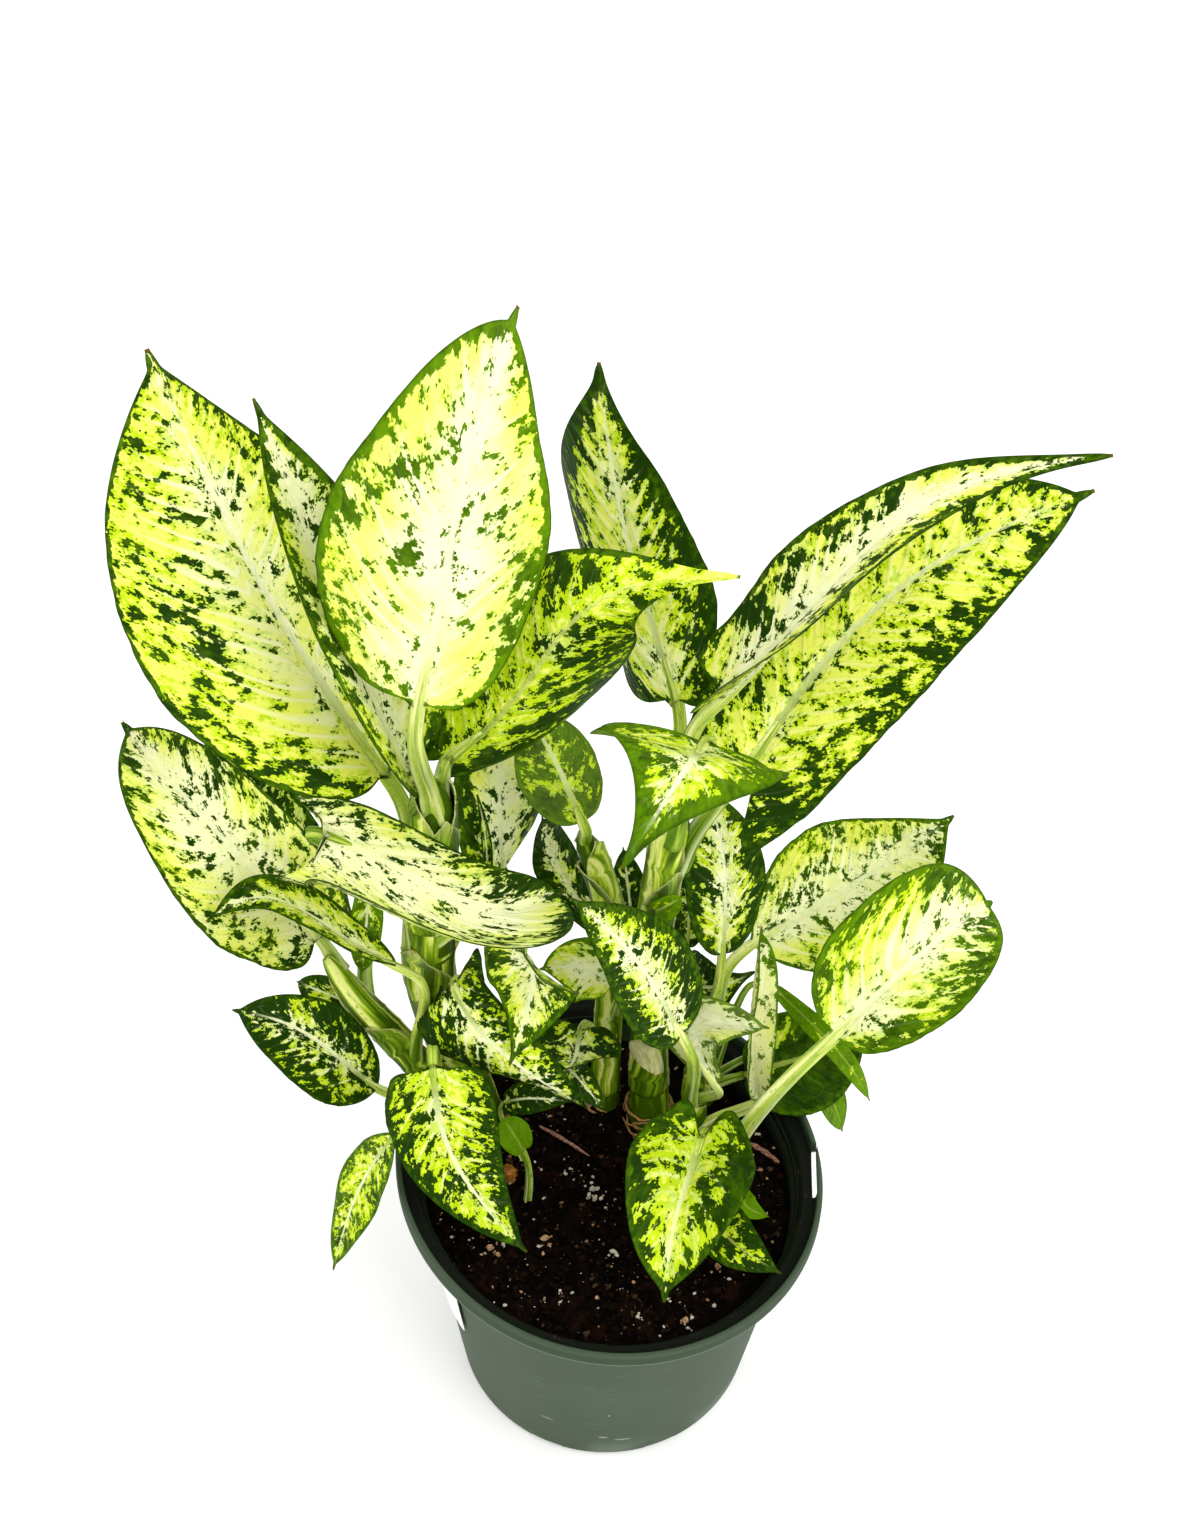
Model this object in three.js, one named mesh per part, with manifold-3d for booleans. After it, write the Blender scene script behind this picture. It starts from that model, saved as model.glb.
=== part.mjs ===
// A potted dieffenbachia: leafy shoots on several canes, standing in the soil of a round nursery pot.
// Millimetres, +Z up. The origin is the centre of the pot's flat underside, and -Y is the pot's front.

import * as THREE from "three";
import { mergeVertices } from "three/addons/utils/BufferGeometryUtils.js";
import Module from "manifold-3d";

const wasm = await Module();
wasm.setup();

// The pot: a thin-walled nursery pot with a rolled lip.
const POT_HEIGHT = 117;
const RIM_RADIUS = 82.5;
const LIP_WIDTH = 5;
const LIP_DEPTH = 6.5;
const BODY_TOP_RADIUS = 74;
const BASE_RADIUS = 59;
const WALL = 1.3;
const FLOOR = 3;
const POT_SIDES = 42;
const OVAL = 0.045; // the thin wall is out of round, most at the rim
const OVAL_TURN = THREE.MathUtils.degToRad(-62);
const DRAINS = 8;
const DRAIN_WIDTH = 13;
const DRAIN_HEIGHT = 3.6;
const DRAIN_DEPTH = 9;
const SLOT_TURN = THREE.MathUtils.degToRad(-3); // the slot for a hanger, through the lip
const SLOT_LENGTH = 22;
const SLOT_WIDTH = 1.9;

// The soil: a filling with an uneven top and grains on it.
const SOIL_LEVEL = 98;
const SOIL_RINGS = 4;
const SOIL_LUMP = 1.1;
const GRAINS = 14;
const GRAIN_SIZE = [0.9, 2.1];

// The blank label on the wall.
const LABEL_WIDTH = 30;
const LABEL_HEIGHT = 30;
const LABEL_THICK = 0.5;
const LABEL_TURN = THREE.MathUtils.degToRad(-157);
const LABEL_LEVEL = 70;

// What all the leaves and stems share.
const GAP = 0.35; // between pieces that touch
const LEAST_EDGE = 0.15; // finer edges left by a cut are merged
const BLADE = 0.9; // thickness of a leaf's blade
const RIB = 1.5; // how far the midrib stands out under the base of a broad blade
const LARGE_LEAF = 70; // a leaf at least this long gets the finest grid
const TINY_LEAF = 34; // one shorter than this gets the coarsest
const LARGE_ROWS = 11;
const SMALL_ROWS = 7;
const TINY_ROWS = 5;
const COLUMNS = [-1, -0.55, 0, 0.55, 1];
const WAVES = 2.5; // ripples along a margin
const RIPPLE = 0.02; // their height, as a share of the leaf's width
const TIP_REACH = 0.96; // where the body of a blade ends and only its drip tip goes on
const DRIP = 0.42; // breadth of the drip tip
const DRIP_BEND = 0.6; // below 1 it stays broad almost to its end

// Every cane and shoot: the points of its axis from under the soil to its top, and its radius at each.
const CANES = {
  cane_left: {
    axis: [[-46, 24, 72], [-50, 26, 104], [-59, 29, 142], [-66, 31, 180], [-65, 30, 215], [-62, 31, 250],
      [-61, 32, 276]],
    radii: [9, 9, 9.2, 9.2, 8.8, 8.2, 6.2],
  },
  shoot_left: {
    axis: [[-53, 10, 78], [-60, 12, 110], [-70, 18, 143], [-82, 22, 160], [-93, 24, 177], [-103, 28, 194]],
    radii: [5.2, 5.2, 5.6, 5.4, 4.6, 3.4],
  },
  cane_middle: {
    axis: [[0, 36, 70], [-1, 38, 110], [0, 43, 157], [0, 45, 200], [-6, 46, 225], [-11, 46, 241]],
    radii: [5.6, 5.4, 5.2, 5.6, 5, 3.6],
  },
  cane_right: {
    axis: [[16, 30, 70], [16, 30, 112], [15, 33, 150], [15, 34, 200], [18, 34, 240], [22, 34, 262]],
    radii: [8, 7.8, 6.6, 6.6, 6.2, 5],
  },
  shoot_back: {
    axis: [[36, 42, 76], [36, 41, 100], [37, 41, 118], [38, 42, 132]],
    radii: [6.5, 6.5, 6, 4.6],
  },
  shoot_right: {
    axis: [[33, 22, 80], [33, 22, 100], [33, 23, 114], [33, 24, 122]],
    radii: [5.2, 5.2, 4.8, 3.6],
  },
  shoot_front: {
    axis: [[42, -1, 80], [42, -1, 98], [42, 0, 108], [42, 0, 114]],
    radii: [5, 5, 4.4, 3.2],
  },
};

// What lies on the soil, half sunk in it: the points of its axis and its radius at each.
const LITTER = {
  twig_pale: { axis: [[-27, 26, 99.3], [-17, 19, 100], [-7, 12, 99.3]], radii: [0.9, 1, 0.6] },
  twig_red: { axis: [[56, 19, 99.4], [61, 15, 100], [67, 10, 99.4]], radii: [1.2, 1.4, 1.1] },
  pebble: { axis: [[-39, 7, 99], [-38, 3, 99.6], [-37, -1, 99]], radii: [1.6, 3.2, 1.8] },
};

// Every leaf. base and tip are the ends of the blade, faces is where its upper side looks, root is where its
// stalk leaves the cane, or a point in the soil for a seedling. bow lifts the midrib at skewed mid-length, sway
// bends it sideways, twist turns the blade from base to tip, fold lifts both halves and curl rolls the margins
// up, in degrees. lobe is how far the base reaches back past the stalk, full and taper shape the outline, and
// uneven widens one half. stalk is its radius at the cane and at the blade.
const LEAVES = [
  {
    name: "leaf_left_fan", cane: "cane_left", root: [-66, 26, 232], base: [-78, 42, 272], tip: [-147, 88, 405],
    faces: [0.1, -0.9, 0.4], width: 93, bow: 0, sway: -5, twist: -46, fold: 27, curl: -15, skew: 0.9,
    uneven: -0.02, lobe: 0.04, full: 0.64, taper: 0.87, stalk: [3.4, 2.6],
  },
  {
    name: "leaf_left_upright", cane: "cane_left", root: [-60, 29, 262], base: [-62, 20, 321], tip: [-30, 57, 437],
    faces: [0.3, -0.9, 0.2], width: 68, bow: 14, sway: -8, twist: 50, fold: 12, curl: -25, skew: 1.85,
    uneven: -0.15, lobe: 0.03, full: 0.51, taper: 0.69, stalk: [3.2, 2.4],
  },
  {
    name: "leaf_left_edgewise", cane: "cane_left", root: [-63, 34, 266], base: [-69, 34, 281], tip: [-108, 52, 409],
    faces: [0.7, -0.6, 0.3], width: 44, bow: 4, sway: -4, twist: -33, fold: 28, curl: 8, skew: 0.6,
    uneven: 0.09, lobe: 0.08, full: 0.6, taper: 0.97, stalk: [3, 2.4],
  },
  {
    name: "leaf_left_hooked", cane: "cane_left", root: [-59, 36, 266], base: [-54, 38, 283], tip: [37, 36, 359],
    faces: [-0.2, -1, 0.2], width: 60, bow: 14, sway: -21, twist: -15, fold: -19, curl: -41, skew: 1.85,
    uneven: 0.01, lobe: 0.16, full: 1.14, taper: 1.57, stalk: [3, 2.3],
  },
  {
    name: "leaf_left_pale", cane: "shoot_left", root: [-98, 27, 188], base: [-107, 35, 197], tip: [-172, 66, 272],
    faces: [0.3, -0.8, 0.5], width: 64, bow: 22, sway: 0, twist: 9, fold: 41, curl: 2, skew: 1.6,
    uneven: -0.02, lobe: 0.09, full: 0.66, taper: 0.87, stalk: [2.8, 2.2],
  },
  {
    name: "leaf_left_hidden", cane: "shoot_left", root: [-90, 27, 172], base: [-97, 54, 183], tip: [-147, 76, 256],
    faces: [0.2, -0.9, 0.3], width: 48, bow: 6, sway: -10, twist: 0, fold: 10, curl: -16, skew: 0.8,
    uneven: 0.03, lobe: 0, full: 0.7, taper: 0.72, stalk: [2.6, 2],
  },
  {
    name: "leaf_left_sweeping", cane: "cane_left", root: [-65, 26, 228], base: [-95, 10, 273], tip: [-17, 12, 247],
    faces: [0.4, -0.7, 0.75], width: 62, bow: 15, sway: 12, twist: -15, fold: 36, curl: 48, skew: 1.55,
    uneven: 0.35, lobe: 0.22, full: 0.3, taper: 0.64, stalk: [2.8, 2.2],
  },
  {
    name: "leaf_left_folded", cane: "shoot_left", root: [-73, 17, 147], base: [-75, 12, 209], tip: [-135, 0, 242],
    faces: [0.35, 0, 0.93], width: 20, bow: 1, sway: 16, twist: -26, fold: 21, curl: -22, skew: 1.62,
    uneven: 0.14, lobe: 0.01, full: 0.71, taper: 0.92, stalk: [2.2, 1.6],
  },
  {
    name: "leaf_left_low", cane: "shoot_left", root: [-62, 14, 122], base: [-86, 8, 145], tip: [-138, 19, 175],
    faces: [0.4, -0.5, 0.8], width: 34, bow: 14, sway: 2, twist: -2, fold: 16, curl: -4, skew: 1.4,
    uneven: -0.14, lobe: 0, full: 0.64, taper: 0.86, stalk: [2.4, 1.8],
  },
  {
    name: "leaf_left_olive", cane: "cane_left", root: [-69, 31, 200], base: [-85, 36, 231], tip: [-92, 34, 179],
    faces: [0.1, -0.9, 0.4], width: 12, bow: 3, sway: 0, twist: 10, fold: 16, curl: -12, skew: 1,
    uneven: 0, lobe: 0.06, full: 0.6, taper: 0.7, stalk: [1.8, 1.3],
  },
  {
    name: "leaf_left_behind", cane: "shoot_left", root: [-84, 26, 156], base: [-95, 30, 166], tip: [-117, 35, 173],
    faces: [0.2, -0.7, 0.7], width: 13, bow: 3, sway: 0, twist: 0, fold: 14, curl: -10, skew: 1,
    uneven: 0, lobe: 0.06, full: 0.6, taper: 0.7, stalk: [1.5, 1.1],
  },
  {
    name: "leaf_front_heart", cane: "shoot_left", root: [-64, 14, 128], base: [-62, -12, 181], tip: [-29, -44, 118],
    faces: [0.1, -0.9, 0.5], width: 39, bow: -11, sway: 10, twist: 8, fold: 11, curl: -21, skew: 1,
    uneven: -0.05, lobe: 0.05, full: 0.31, taper: 0.85, stalk: [2.4, 1.9],
  },
  {
    name: "leaf_left_drooping", cane: "shoot_left", root: [-56, 9, 100], base: [-77, -17, 150], tip: [-104, -28, 80],
    faces: [-0.7, -0.6, 0.3], width: 22, bow: -2, sway: 6, twist: 10, fold: 12, curl: -24, skew: 1,
    uneven: -0.02, lobe: 0, full: 0.75, taper: 0.82, stalk: [1.8, 1.3],
  },
  {
    name: "leaf_middle_heart", cane: "cane_left", root: [-58, 27, 150], base: [-56, 13, 197], tip: [-8, -3, 148],
    faces: [-0.2, -1, 0.3], width: 34, bow: 12, sway: -1, twist: 64, fold: -13, curl: -24, skew: 0.64,
    uneven: 0.27, lobe: 0.32, full: 0.38, taper: 0.76, stalk: [2.2, 1.7],
  },
  {
    name: "leaf_middle_curled", cane: "cane_left", root: [-62, 25, 208], base: [-31, -4, 235], tip: [-35, -13, 185],
    faces: [-0.2, -1, 0.2], width: 35, bow: -19, sway: -2, twist: -58, fold: 23, curl: -16, skew: 1.2,
    uneven: -0.08, lobe: 0.09, full: 0.58, taper: 0.98, stalk: [2.2, 1.7],
  },
  {
    name: "leaf_middle_pale", cane: "cane_middle", root: [0, 41, 140], base: [1, 30, 179], tip: [-26, 30, 187],
    faces: [0.2, -0.9, 0.4], width: 27, bow: 8, sway: 7, twist: -3, fold: 12, curl: -16, skew: 1,
    uneven: 0, lobe: 0.07, full: 0.6, taper: 0.95, stalk: [1.8, 1.4],
  },
  {
    name: "leaf_middle_mottled", cane: "cane_middle", root: [-1, 38, 118], base: [-11, 24, 160], tip: [-16, 1, 166],
    faces: [0, 0.2, 1], width: 33, bow: -3, sway: -1, twist: 17, fold: 21, curl: -10, skew: 1.1,
    uneven: -0.05, lobe: 0.15, full: 0.64, taper: 0.76, stalk: [1.8, 1.4],
  },
  {
    name: "leaf_low_dark", cane: null, root: [-29, 7, 88], base: [-40, 20, 122], tip: [-14, 12, 133],
    faces: [-0.4, -0.4, 0.8], width: 13, bow: 7, sway: 0, twist: -1, fold: 13, curl: -15, skew: 1.1,
    uneven: -0.01, lobe: 0.07, full: 0.6, taper: 0.9, stalk: [1.3, 1],
  },
  {
    name: "leaf_low_green", cane: null, root: [-31, -10, 88], base: [-32, 0, 119], tip: [-40, 8, 128],
    faces: [0.3, -0.7, 0.6], width: 13, bow: 2, sway: 0, twist: 0, fold: 14, curl: -12, skew: 1,
    uneven: 0, lobe: 0.1, full: 0.55, taper: 0.6, stalk: [1.5, 1.2],
  },
  {
    name: "leaf_low_plain", cane: "cane_middle", root: [-1, 37, 102], base: [-16, 26, 136], tip: [-1, 6, 135],
    faces: [-0.3, -0.2, 0.9], width: 12, bow: 10, sway: 0, twist: 0, fold: 12, curl: -15, skew: 1,
    uneven: 0, lobe: 0.07, full: 0.61, taper: 0.82, stalk: [1.5, 1.1],
  },
  {
    name: "leaf_back_cream", cane: "cane_left", root: [-60, 38, 190], base: [-40, 62, 205], tip: [-42, 94, 261],
    faces: [0.5, -0.7, 0.4], width: 41, bow: 13, sway: -8, twist: -34, fold: 5, curl: -21, skew: 0.8,
    uneven: 0.1, lobe: 0.12, full: 0.58, taper: 0.77, stalk: [2.2, 1.8],
  },
  {
    name: "leaf_back_spear", cane: "cane_left", root: [-56, 30, 205], base: [-45, 46, 219], tip: [-48, 54, 251],
    faces: [0.2, -0.9, 0.2], width: 6, bow: 0, sway: 1, twist: 0, fold: 50, curl: 10, skew: 1,
    uneven: 0, lobe: 0, full: 0.5, taper: 1, stalk: [1.3, 1.1],
  },
  {
    name: "leaf_middle_round", cane: "cane_middle", root: [-10, 46, 236], base: [-11, 42, 250], tip: [-31, 62, 282],
    faces: [-0.2, 0.8, -0.5], width: 30, bow: 6, sway: -2, twist: -4, fold: 17, curl: -7, skew: 1.2,
    uneven: 0.02, lobe: 0.03, full: 0.62, taper: 0.81, stalk: [2.4, 2],
  },
  {
    name: "leaf_back_dark", cane: "cane_middle", root: [-1, 47, 150], base: [-4, 64, 172], tip: [-26, 72, 224],
    faces: [0.6, -0.8, 0.3], width: 19, bow: -12, sway: 1, twist: 0, fold: 8, curl: -21, skew: 0.9,
    uneven: -0.02, lobe: 0.05, full: 0.68, taper: 0.71, stalk: [2, 1.6],
  },
  {
    name: "leaf_back_green", cane: "cane_middle", root: [1, 48, 160], base: [8, 60, 179], tip: [4, 68, 213],
    faces: [0.1, -0.8, 0.4], width: 14, bow: 3, sway: 0, twist: 0, fold: 12, curl: -12, skew: 1,
    uneven: 0, lobe: 0.06, full: 0.62, taper: 0.75, stalk: [1.5, 1.2],
  },
  {
    name: "leaf_right_upright", cane: "cane_right", root: [16, 39, 240], base: [20, 62, 289], tip: [-7, 85, 404],
    faces: [-0.5, -0.8, 0.1], width: 67, bow: -3, sway: -7, twist: 6, fold: 3, curl: -55, skew: 1.15,
    uneven: -0.27, lobe: 0.08, full: 0.62, taper: 1.2, stalk: [2.9, 2.3],
  },
  {
    name: "leaf_right_long", cane: "cane_right", root: [21, 35, 254], base: [34, 40, 310], tip: [141, 34, 405],
    faces: [-0.6, -0.3, 0.7], width: 50, bow: 14, sway: -10, twist: 41, fold: 29, curl: 8, skew: 1.42,
    uneven: 0.19, lobe: 0.08, full: 0.38, taper: 1.38, stalk: [3, 2.4],
  },
  {
    name: "leaf_right_wide", cane: "cane_right", root: [23, 33, 238], base: [45, 39, 281], tip: [145, 56, 379],
    faces: [-0.5, -0.7, 0.6], width: 62, bow: 6, sway: -13, twist: -14, fold: 14, curl: -12, skew: 1.05,
    uneven: 0.05, lobe: 0.24, full: 0.5, taper: 0.75, stalk: [3.2, 2.6],
  },
  {
    name: "leaf_right_facing", cane: "cane_right", root: [20, 29, 252], base: [28, 20, 306], tip: [2, -35, 304],
    faces: [0.1, -0.1, 1], width: 62, bow: 25, sway: -6, twist: -4, fold: 7, curl: -13, skew: 1.5,
    uneven: 0.06, lobe: 0.03, full: 0.59, taper: 1.34, stalk: [2.8, 2.2],
  },
  {
    name: "leaf_right_inner", cane: "shoot_back", root: [35, 41, 128], base: [42, 44, 181], tip: [33, 60, 251],
    faces: [0.3, -0.9, 0.2], width: 31, bow: 2, sway: 3, twist: -3, fold: 10, curl: -16, skew: 1.1,
    uneven: -0.01, lobe: 0.02, full: 0.63, taper: 0.81, stalk: [2.2, 1.7],
  },
  {
    name: "leaf_right_dim", cane: "shoot_back", root: [33, 46, 129], base: [30, 64, 163], tip: [28, 72, 224],
    faces: [0.2, -0.8, 0.3], width: 16, bow: 2, sway: 0, twist: 8, fold: 14, curl: -10, skew: 1,
    uneven: 0, lobe: 0.04, full: 0.62, taper: 0.75, stalk: [1.7, 1.3],
  },
  {
    name: "leaf_right_curled", cane: "cane_right", root: [15, 27, 205], base: [15, 27, 222], tip: [24, 24, 232],
    faces: [0, -0.7, 0.5], width: 12, bow: 2, sway: 0, twist: 0, fold: 34, curl: 20, skew: 1,
    uneven: 0, lobe: 0.05, full: 0.5, taper: 0.5, stalk: [1.6, 1.4],
  },
  {
    name: "leaf_right_blunt", cane: "shoot_back", root: [41, 44, 122], base: [54, 54, 176], tip: [124, 67, 232],
    faces: [-0.2, -0.9, 0.4], width: 58, bow: -10, sway: 4, twist: 4, fold: 15, curl: -18, skew: 1,
    uneven: 0.02, lobe: 0, full: 0.71, taper: 1, stalk: [2.8, 2.2],
  },
  {
    name: "leaf_right_round", cane: "shoot_front", root: [44, 1, 108], base: [82, 14, 171], tip: [141, 54, 201],
    faces: [0, -0.6, 0.8], width: 58, bow: 19, sway: -3, twist: 4, fold: 26, curl: 8, skew: 1.2,
    uneven: -0.11, lobe: 0.02, full: 0.63, taper: 0.74, stalk: [3.2, 2.6],
  },
  {
    name: "leaf_right_leaning", cane: "shoot_right", root: [31, 21, 113], base: [26, 8, 177], tip: [-14, 5, 250],
    faces: [0.7, -0.7, 0.3], width: 36, bow: 4, sway: 3, twist: 8, fold: 13, curl: -3, skew: 1.2,
    uneven: 0.01, lobe: 0.01, full: 0.57, taper: 0.93, stalk: [2.6, 2],
  },
  {
    name: "leaf_right_shaded", cane: "shoot_back", root: [36, 44, 110], base: [33, 68, 136], tip: [57, 62, 152],
    faces: [-0.3, -0.8, 0.5], width: 28, bow: 7, sway: 1, twist: 2, fold: 9, curl: -22, skew: 1.19,
    uneven: -0.08, lobe: 0.07, full: 0.55, taper: 1.67, stalk: [1.8, 1.4],
  },
  {
    name: "leaf_right_underside", cane: "shoot_right", root: [33, 25, 115], base: [40, 16, 141], tip: [57, 8, 182],
    faces: [0.4, 0.9, -0.1], width: 27, bow: 0, sway: 20, twist: 4, fold: 11, curl: -17, skew: 0.8,
    uneven: 0.1, lobe: 0.06, full: 0.66, taper: 0.8, stalk: [2, 1.5],
  },
  {
    name: "leaf_rolled_new", cane: "shoot_right", root: [37, 20, 108], base: [58, 20, 127], tip: [53, 26, 215],
    faces: [0.3, -0.9, 0.2], width: 23, bow: 0, sway: -3, twist: 34, fold: 49, curl: 37, skew: 0.8,
    uneven: 0.03, lobe: 0, full: 0.53, taper: 0.65, stalk: [2.2, 2],
  },
  {
    name: "leaf_front_blunt", cane: "shoot_front", root: [40, -3, 103], base: [34, -8, 138], tip: [20, -66, 122],
    faces: [0, -0.3, 1], width: 51, bow: 18, sway: 2, twist: 6, fold: 38, curl: -16, skew: 1.5,
    uneven: -0.01, lobe: 0.26, full: 0.8, taper: 1.11, stalk: [2.4, 1.9],
  },
  {
    name: "leaf_front_lower", cane: "shoot_front", root: [44, -4, 99], base: [40, -24, 116], tip: [62, -52, 119],
    faces: [-0.3, -0.3, 0.9], width: 20, bow: 7, sway: 4, twist: 0, fold: 11, curl: -12, skew: 0.9,
    uneven: -0.03, lobe: 0.08, full: 0.53, taper: 0.98, stalk: [1.6, 1.2],
  },
  {
    name: "leaf_front_light", cane: "shoot_front", root: [43, -2, 99], base: [51, -7, 106], tip: [61, -18, 104],
    faces: [0.1, -0.5, 0.9], width: 9, bow: 4, sway: 4, twist: 0, fold: 14, curl: -12, skew: 1,
    uneven: 0, lobe: 0.04, full: 0.58, taper: 0.86, stalk: [1.3, 1.1],
  },
  {
    name: "leaf_rim_broad", cane: "shoot_back", root: [39, 40, 104], base: [54, 37, 120], tip: [101, 45, 132],
    faces: [0, -0.5, 0.9], width: 41, bow: 7, sway: 1, twist: -4, fold: 11, curl: -15, skew: 0.8,
    uneven: 0.07, lobe: 0.04, full: 0.61, taper: 0.84, stalk: [2, 1.5],
  },
  {
    name: "leaf_rim_arching", cane: "shoot_back", root: [41, 38, 114], base: [63, 42, 164], tip: [101, 22, 123],
    faces: [0.4, -0.7, 0.6], width: 9, bow: 10, sway: 0, twist: 0, fold: 12, curl: -15, skew: 1.1,
    uneven: 0, lobe: 0.07, full: 0.62, taper: 0.8, stalk: [1.4, 1.1],
  },
  {
    name: "leaf_rim_hanging", cane: "shoot_back", root: [42, 43, 110], base: [78, 42, 123], tip: [95, 34, 88],
    faces: [0.6, -0.5, 0.5], width: 16, bow: 3, sway: 0, twist: 0, fold: 12, curl: -12, skew: 1,
    uneven: 0, lobe: 0.05, full: 0.61, taper: 0.82, stalk: [1.5, 1.1],
  },
];

const vec = (a) => new THREE.Vector3(a[0], a[1], a[2]);

// A seeded draw from 0 to 1, so that the grains lie the same way in every build.
function makeRandom(seed) {
  let state = seed;
  return () => {
    state = (state * 1664525 + 1013904223) % 4294967296;
    return state / 4294967296;
  };
}

// A closed geometry as a solid, for joining and cutting.
function toSolid(geometry) {
  let g = geometry.clone();
  g.deleteAttribute("normal");
  g.deleteAttribute("uv");
  g = mergeVertices(g, 1e-4);
  return new wasm.Manifold(
    new wasm.Mesh({
      numProp: 3,
      vertProperties: new Float32Array(g.attributes.position.array),
      triVerts: new Uint32Array(g.index.array),
    }),
  );
}

function toGeometry(solid) {
  const mesh = solid.getMesh();
  const g = new THREE.BufferGeometry();
  g.setAttribute("position", new THREE.BufferAttribute(new Float32Array(mesh.vertProperties), 3));
  g.setIndex(new THREE.BufferAttribute(new Uint32Array(mesh.triVerts), 1));
  g.computeVertexNormals();
  return g;
}

function geometryOf(points, triangles) {
  const g = new THREE.BufferGeometry();
  g.setAttribute("position", new THREE.Float32BufferAttribute(points.flatMap((p) => [p.x, p.y, p.z]), 3));
  g.setIndex(triangles);
  return g;
}

// A round limb along a smooth curve through the given points, with its radius at each, closed at both ends.
function limb(axis, radii, sides, steps, extra = 0) {
  const curve = new THREE.CatmullRomCurve3(axis.map((p) => (p.isVector3 ? p : vec(p))), false, "centripetal");
  const points = [];
  const triangles = [];
  let side = null;
  for (let i = 0; i <= steps; i += 1) {
    const u = i / steps;
    const centre = curve.getPoint(u);
    const along = curve.getTangent(u);
    if (side === null) {
      side = Math.abs(along.x) < 0.9 ? new THREE.Vector3(1, 0, 0) : new THREE.Vector3(0, 1, 0);
    }
    side = side.clone().addScaledVector(along, -side.dot(along)).normalize();
    const across = new THREE.Vector3().crossVectors(along, side);
    const place = u * (radii.length - 1);
    const k = Math.min(Math.floor(place), radii.length - 2);
    const radius = radii[k] + (radii[k + 1] - radii[k]) * (place - k) + extra;
    if (i === 0) {
      centre.addScaledVector(along, -extra);
    }
    if (i === steps) {
      centre.addScaledVector(along, extra);
    }
    for (let j = 0; j < sides; j += 1) {
      const a = (2 * Math.PI * j) / sides;
      points.push(
        centre.clone().addScaledVector(side, radius * Math.cos(a)).addScaledVector(across, radius * Math.sin(a)),
      );
    }
  }
  for (let i = 0; i < steps; i += 1) {
    for (let j = 0; j < sides; j += 1) {
      const a = i * sides + j;
      const b = i * sides + ((j + 1) % sides);
      triangles.push(a, b, b + sides, a, b + sides, a + sides);
    }
  }
  for (let j = 1; j < sides - 1; j += 1) {
    triangles.push(0, j + 1, j);
    const top = steps * sides;
    triangles.push(top, top + j, top + j + 1);
  }
  return geometryOf(points, triangles);
}

// The half-width of a blade along its length, as a share of the widest: a round base, a full middle and a
// drawn-out drip tip.
function outline(t, full, taper) {
  const s = Math.min(t / TIP_REACH, 1);
  const peak = (full / (full + taper)) ** full * (taper / (full + taper)) ** taper;
  const body = (s ** full * (1 - s) ** taper) / peak;
  const late = THREE.MathUtils.clamp((t - 0.55) / 0.45, 0, 1);
  const cusp = DRIP * (1 - t) ** DRIP_BEND * late;
  const least = 0.02;
  return Math.max((body ** 4 + cusp ** 4) ** 0.25, least);
}

// Stations from base to tip, closer together at both ends.
function stations(rows) {
  const shares = Array.from({ length: rows }, (_, i) => i / (rows - 1));
  return shares.map((k) => 0.65 * (0.5 - 0.5 * Math.cos(Math.PI * k)) + 0.35 * k);
}

// The bent midrib of a leaf: its point, and the directions along it, up from it and across it.
function midribOf(leaf) {
  const base = vec(leaf.base);
  const chord = vec(leaf.tip).sub(base);
  const length = chord.length();
  const ahead = chord.clone().normalize();
  const faces = vec(leaf.faces);
  const up = faces.clone().addScaledVector(ahead, -faces.dot(ahead)).normalize();
  const right = new THREE.Vector3().crossVectors(ahead, up);
  const point = (u) => {
    const bend = Math.sin(Math.PI * THREE.MathUtils.clamp(u, 1e-6, 1) ** leaf.skew);
    return base.clone().addScaledVector(chord, u).addScaledVector(up, leaf.bow * bend)
      .addScaledVector(right, leaf.sway * bend);
  };
  const frame = (u) => {
    const step = 1e-3;
    const from = point(THREE.MathUtils.clamp(u - step, 0, 1));
    const along = point(THREE.MathUtils.clamp(u + step, 0, 1)).sub(from).normalize();
    const normal = up.clone().addScaledVector(along, -up.dot(along)).normalize();
    const across = new THREE.Vector3().crossVectors(along, normal);
    const turn = THREE.MathUtils.degToRad(leaf.twist) * (u - 0.5);
    return {
      along,
      normal: normal.clone().multiplyScalar(Math.cos(turn)).addScaledVector(across, Math.sin(turn)),
      across: across.clone().multiplyScalar(Math.cos(turn)).addScaledVector(normal, -Math.sin(turn)),
    };
  };
  return { point, frame, length };
}

// A point of the blade's upper surface: t runs from base to tip, v from -1 to 1 across.
function bladePoint(leaf, midrib, t, v) {
  const side = Math.sign(v);
  const far = Math.abs(v);
  const back = leaf.lobe * (t / 0.08) * Math.exp(1 - t / 0.08);
  const place = t + (0.1 * t * (1 - t) - back) * far ** 1.4;
  const u = THREE.MathUtils.clamp(place, 0, 1);
  const { along, normal, across } = midrib.frame(u);
  const half = leaf.width / 2;
  const share = outline(t, leaf.full, leaf.taper);
  const w = half * (1 + leaf.uneven * side) * share * far;
  const rise = THREE.MathUtils.degToRad(leaf.fold + (leaf.curl * w) / half / 2);
  const phase = side < 0 ? 0.37 : 0;
  const ripple = RIPPLE * leaf.width * share * far ** 2.5 * Math.sin(2 * Math.PI * (WAVES * place + phase));
  return midrib.point(u).addScaledVector(along, (place - u) * midrib.length)
    .addScaledVector(across, side * w * Math.cos(rise)).addScaledVector(normal, w * Math.sin(rise) + ripple);
}

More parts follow.
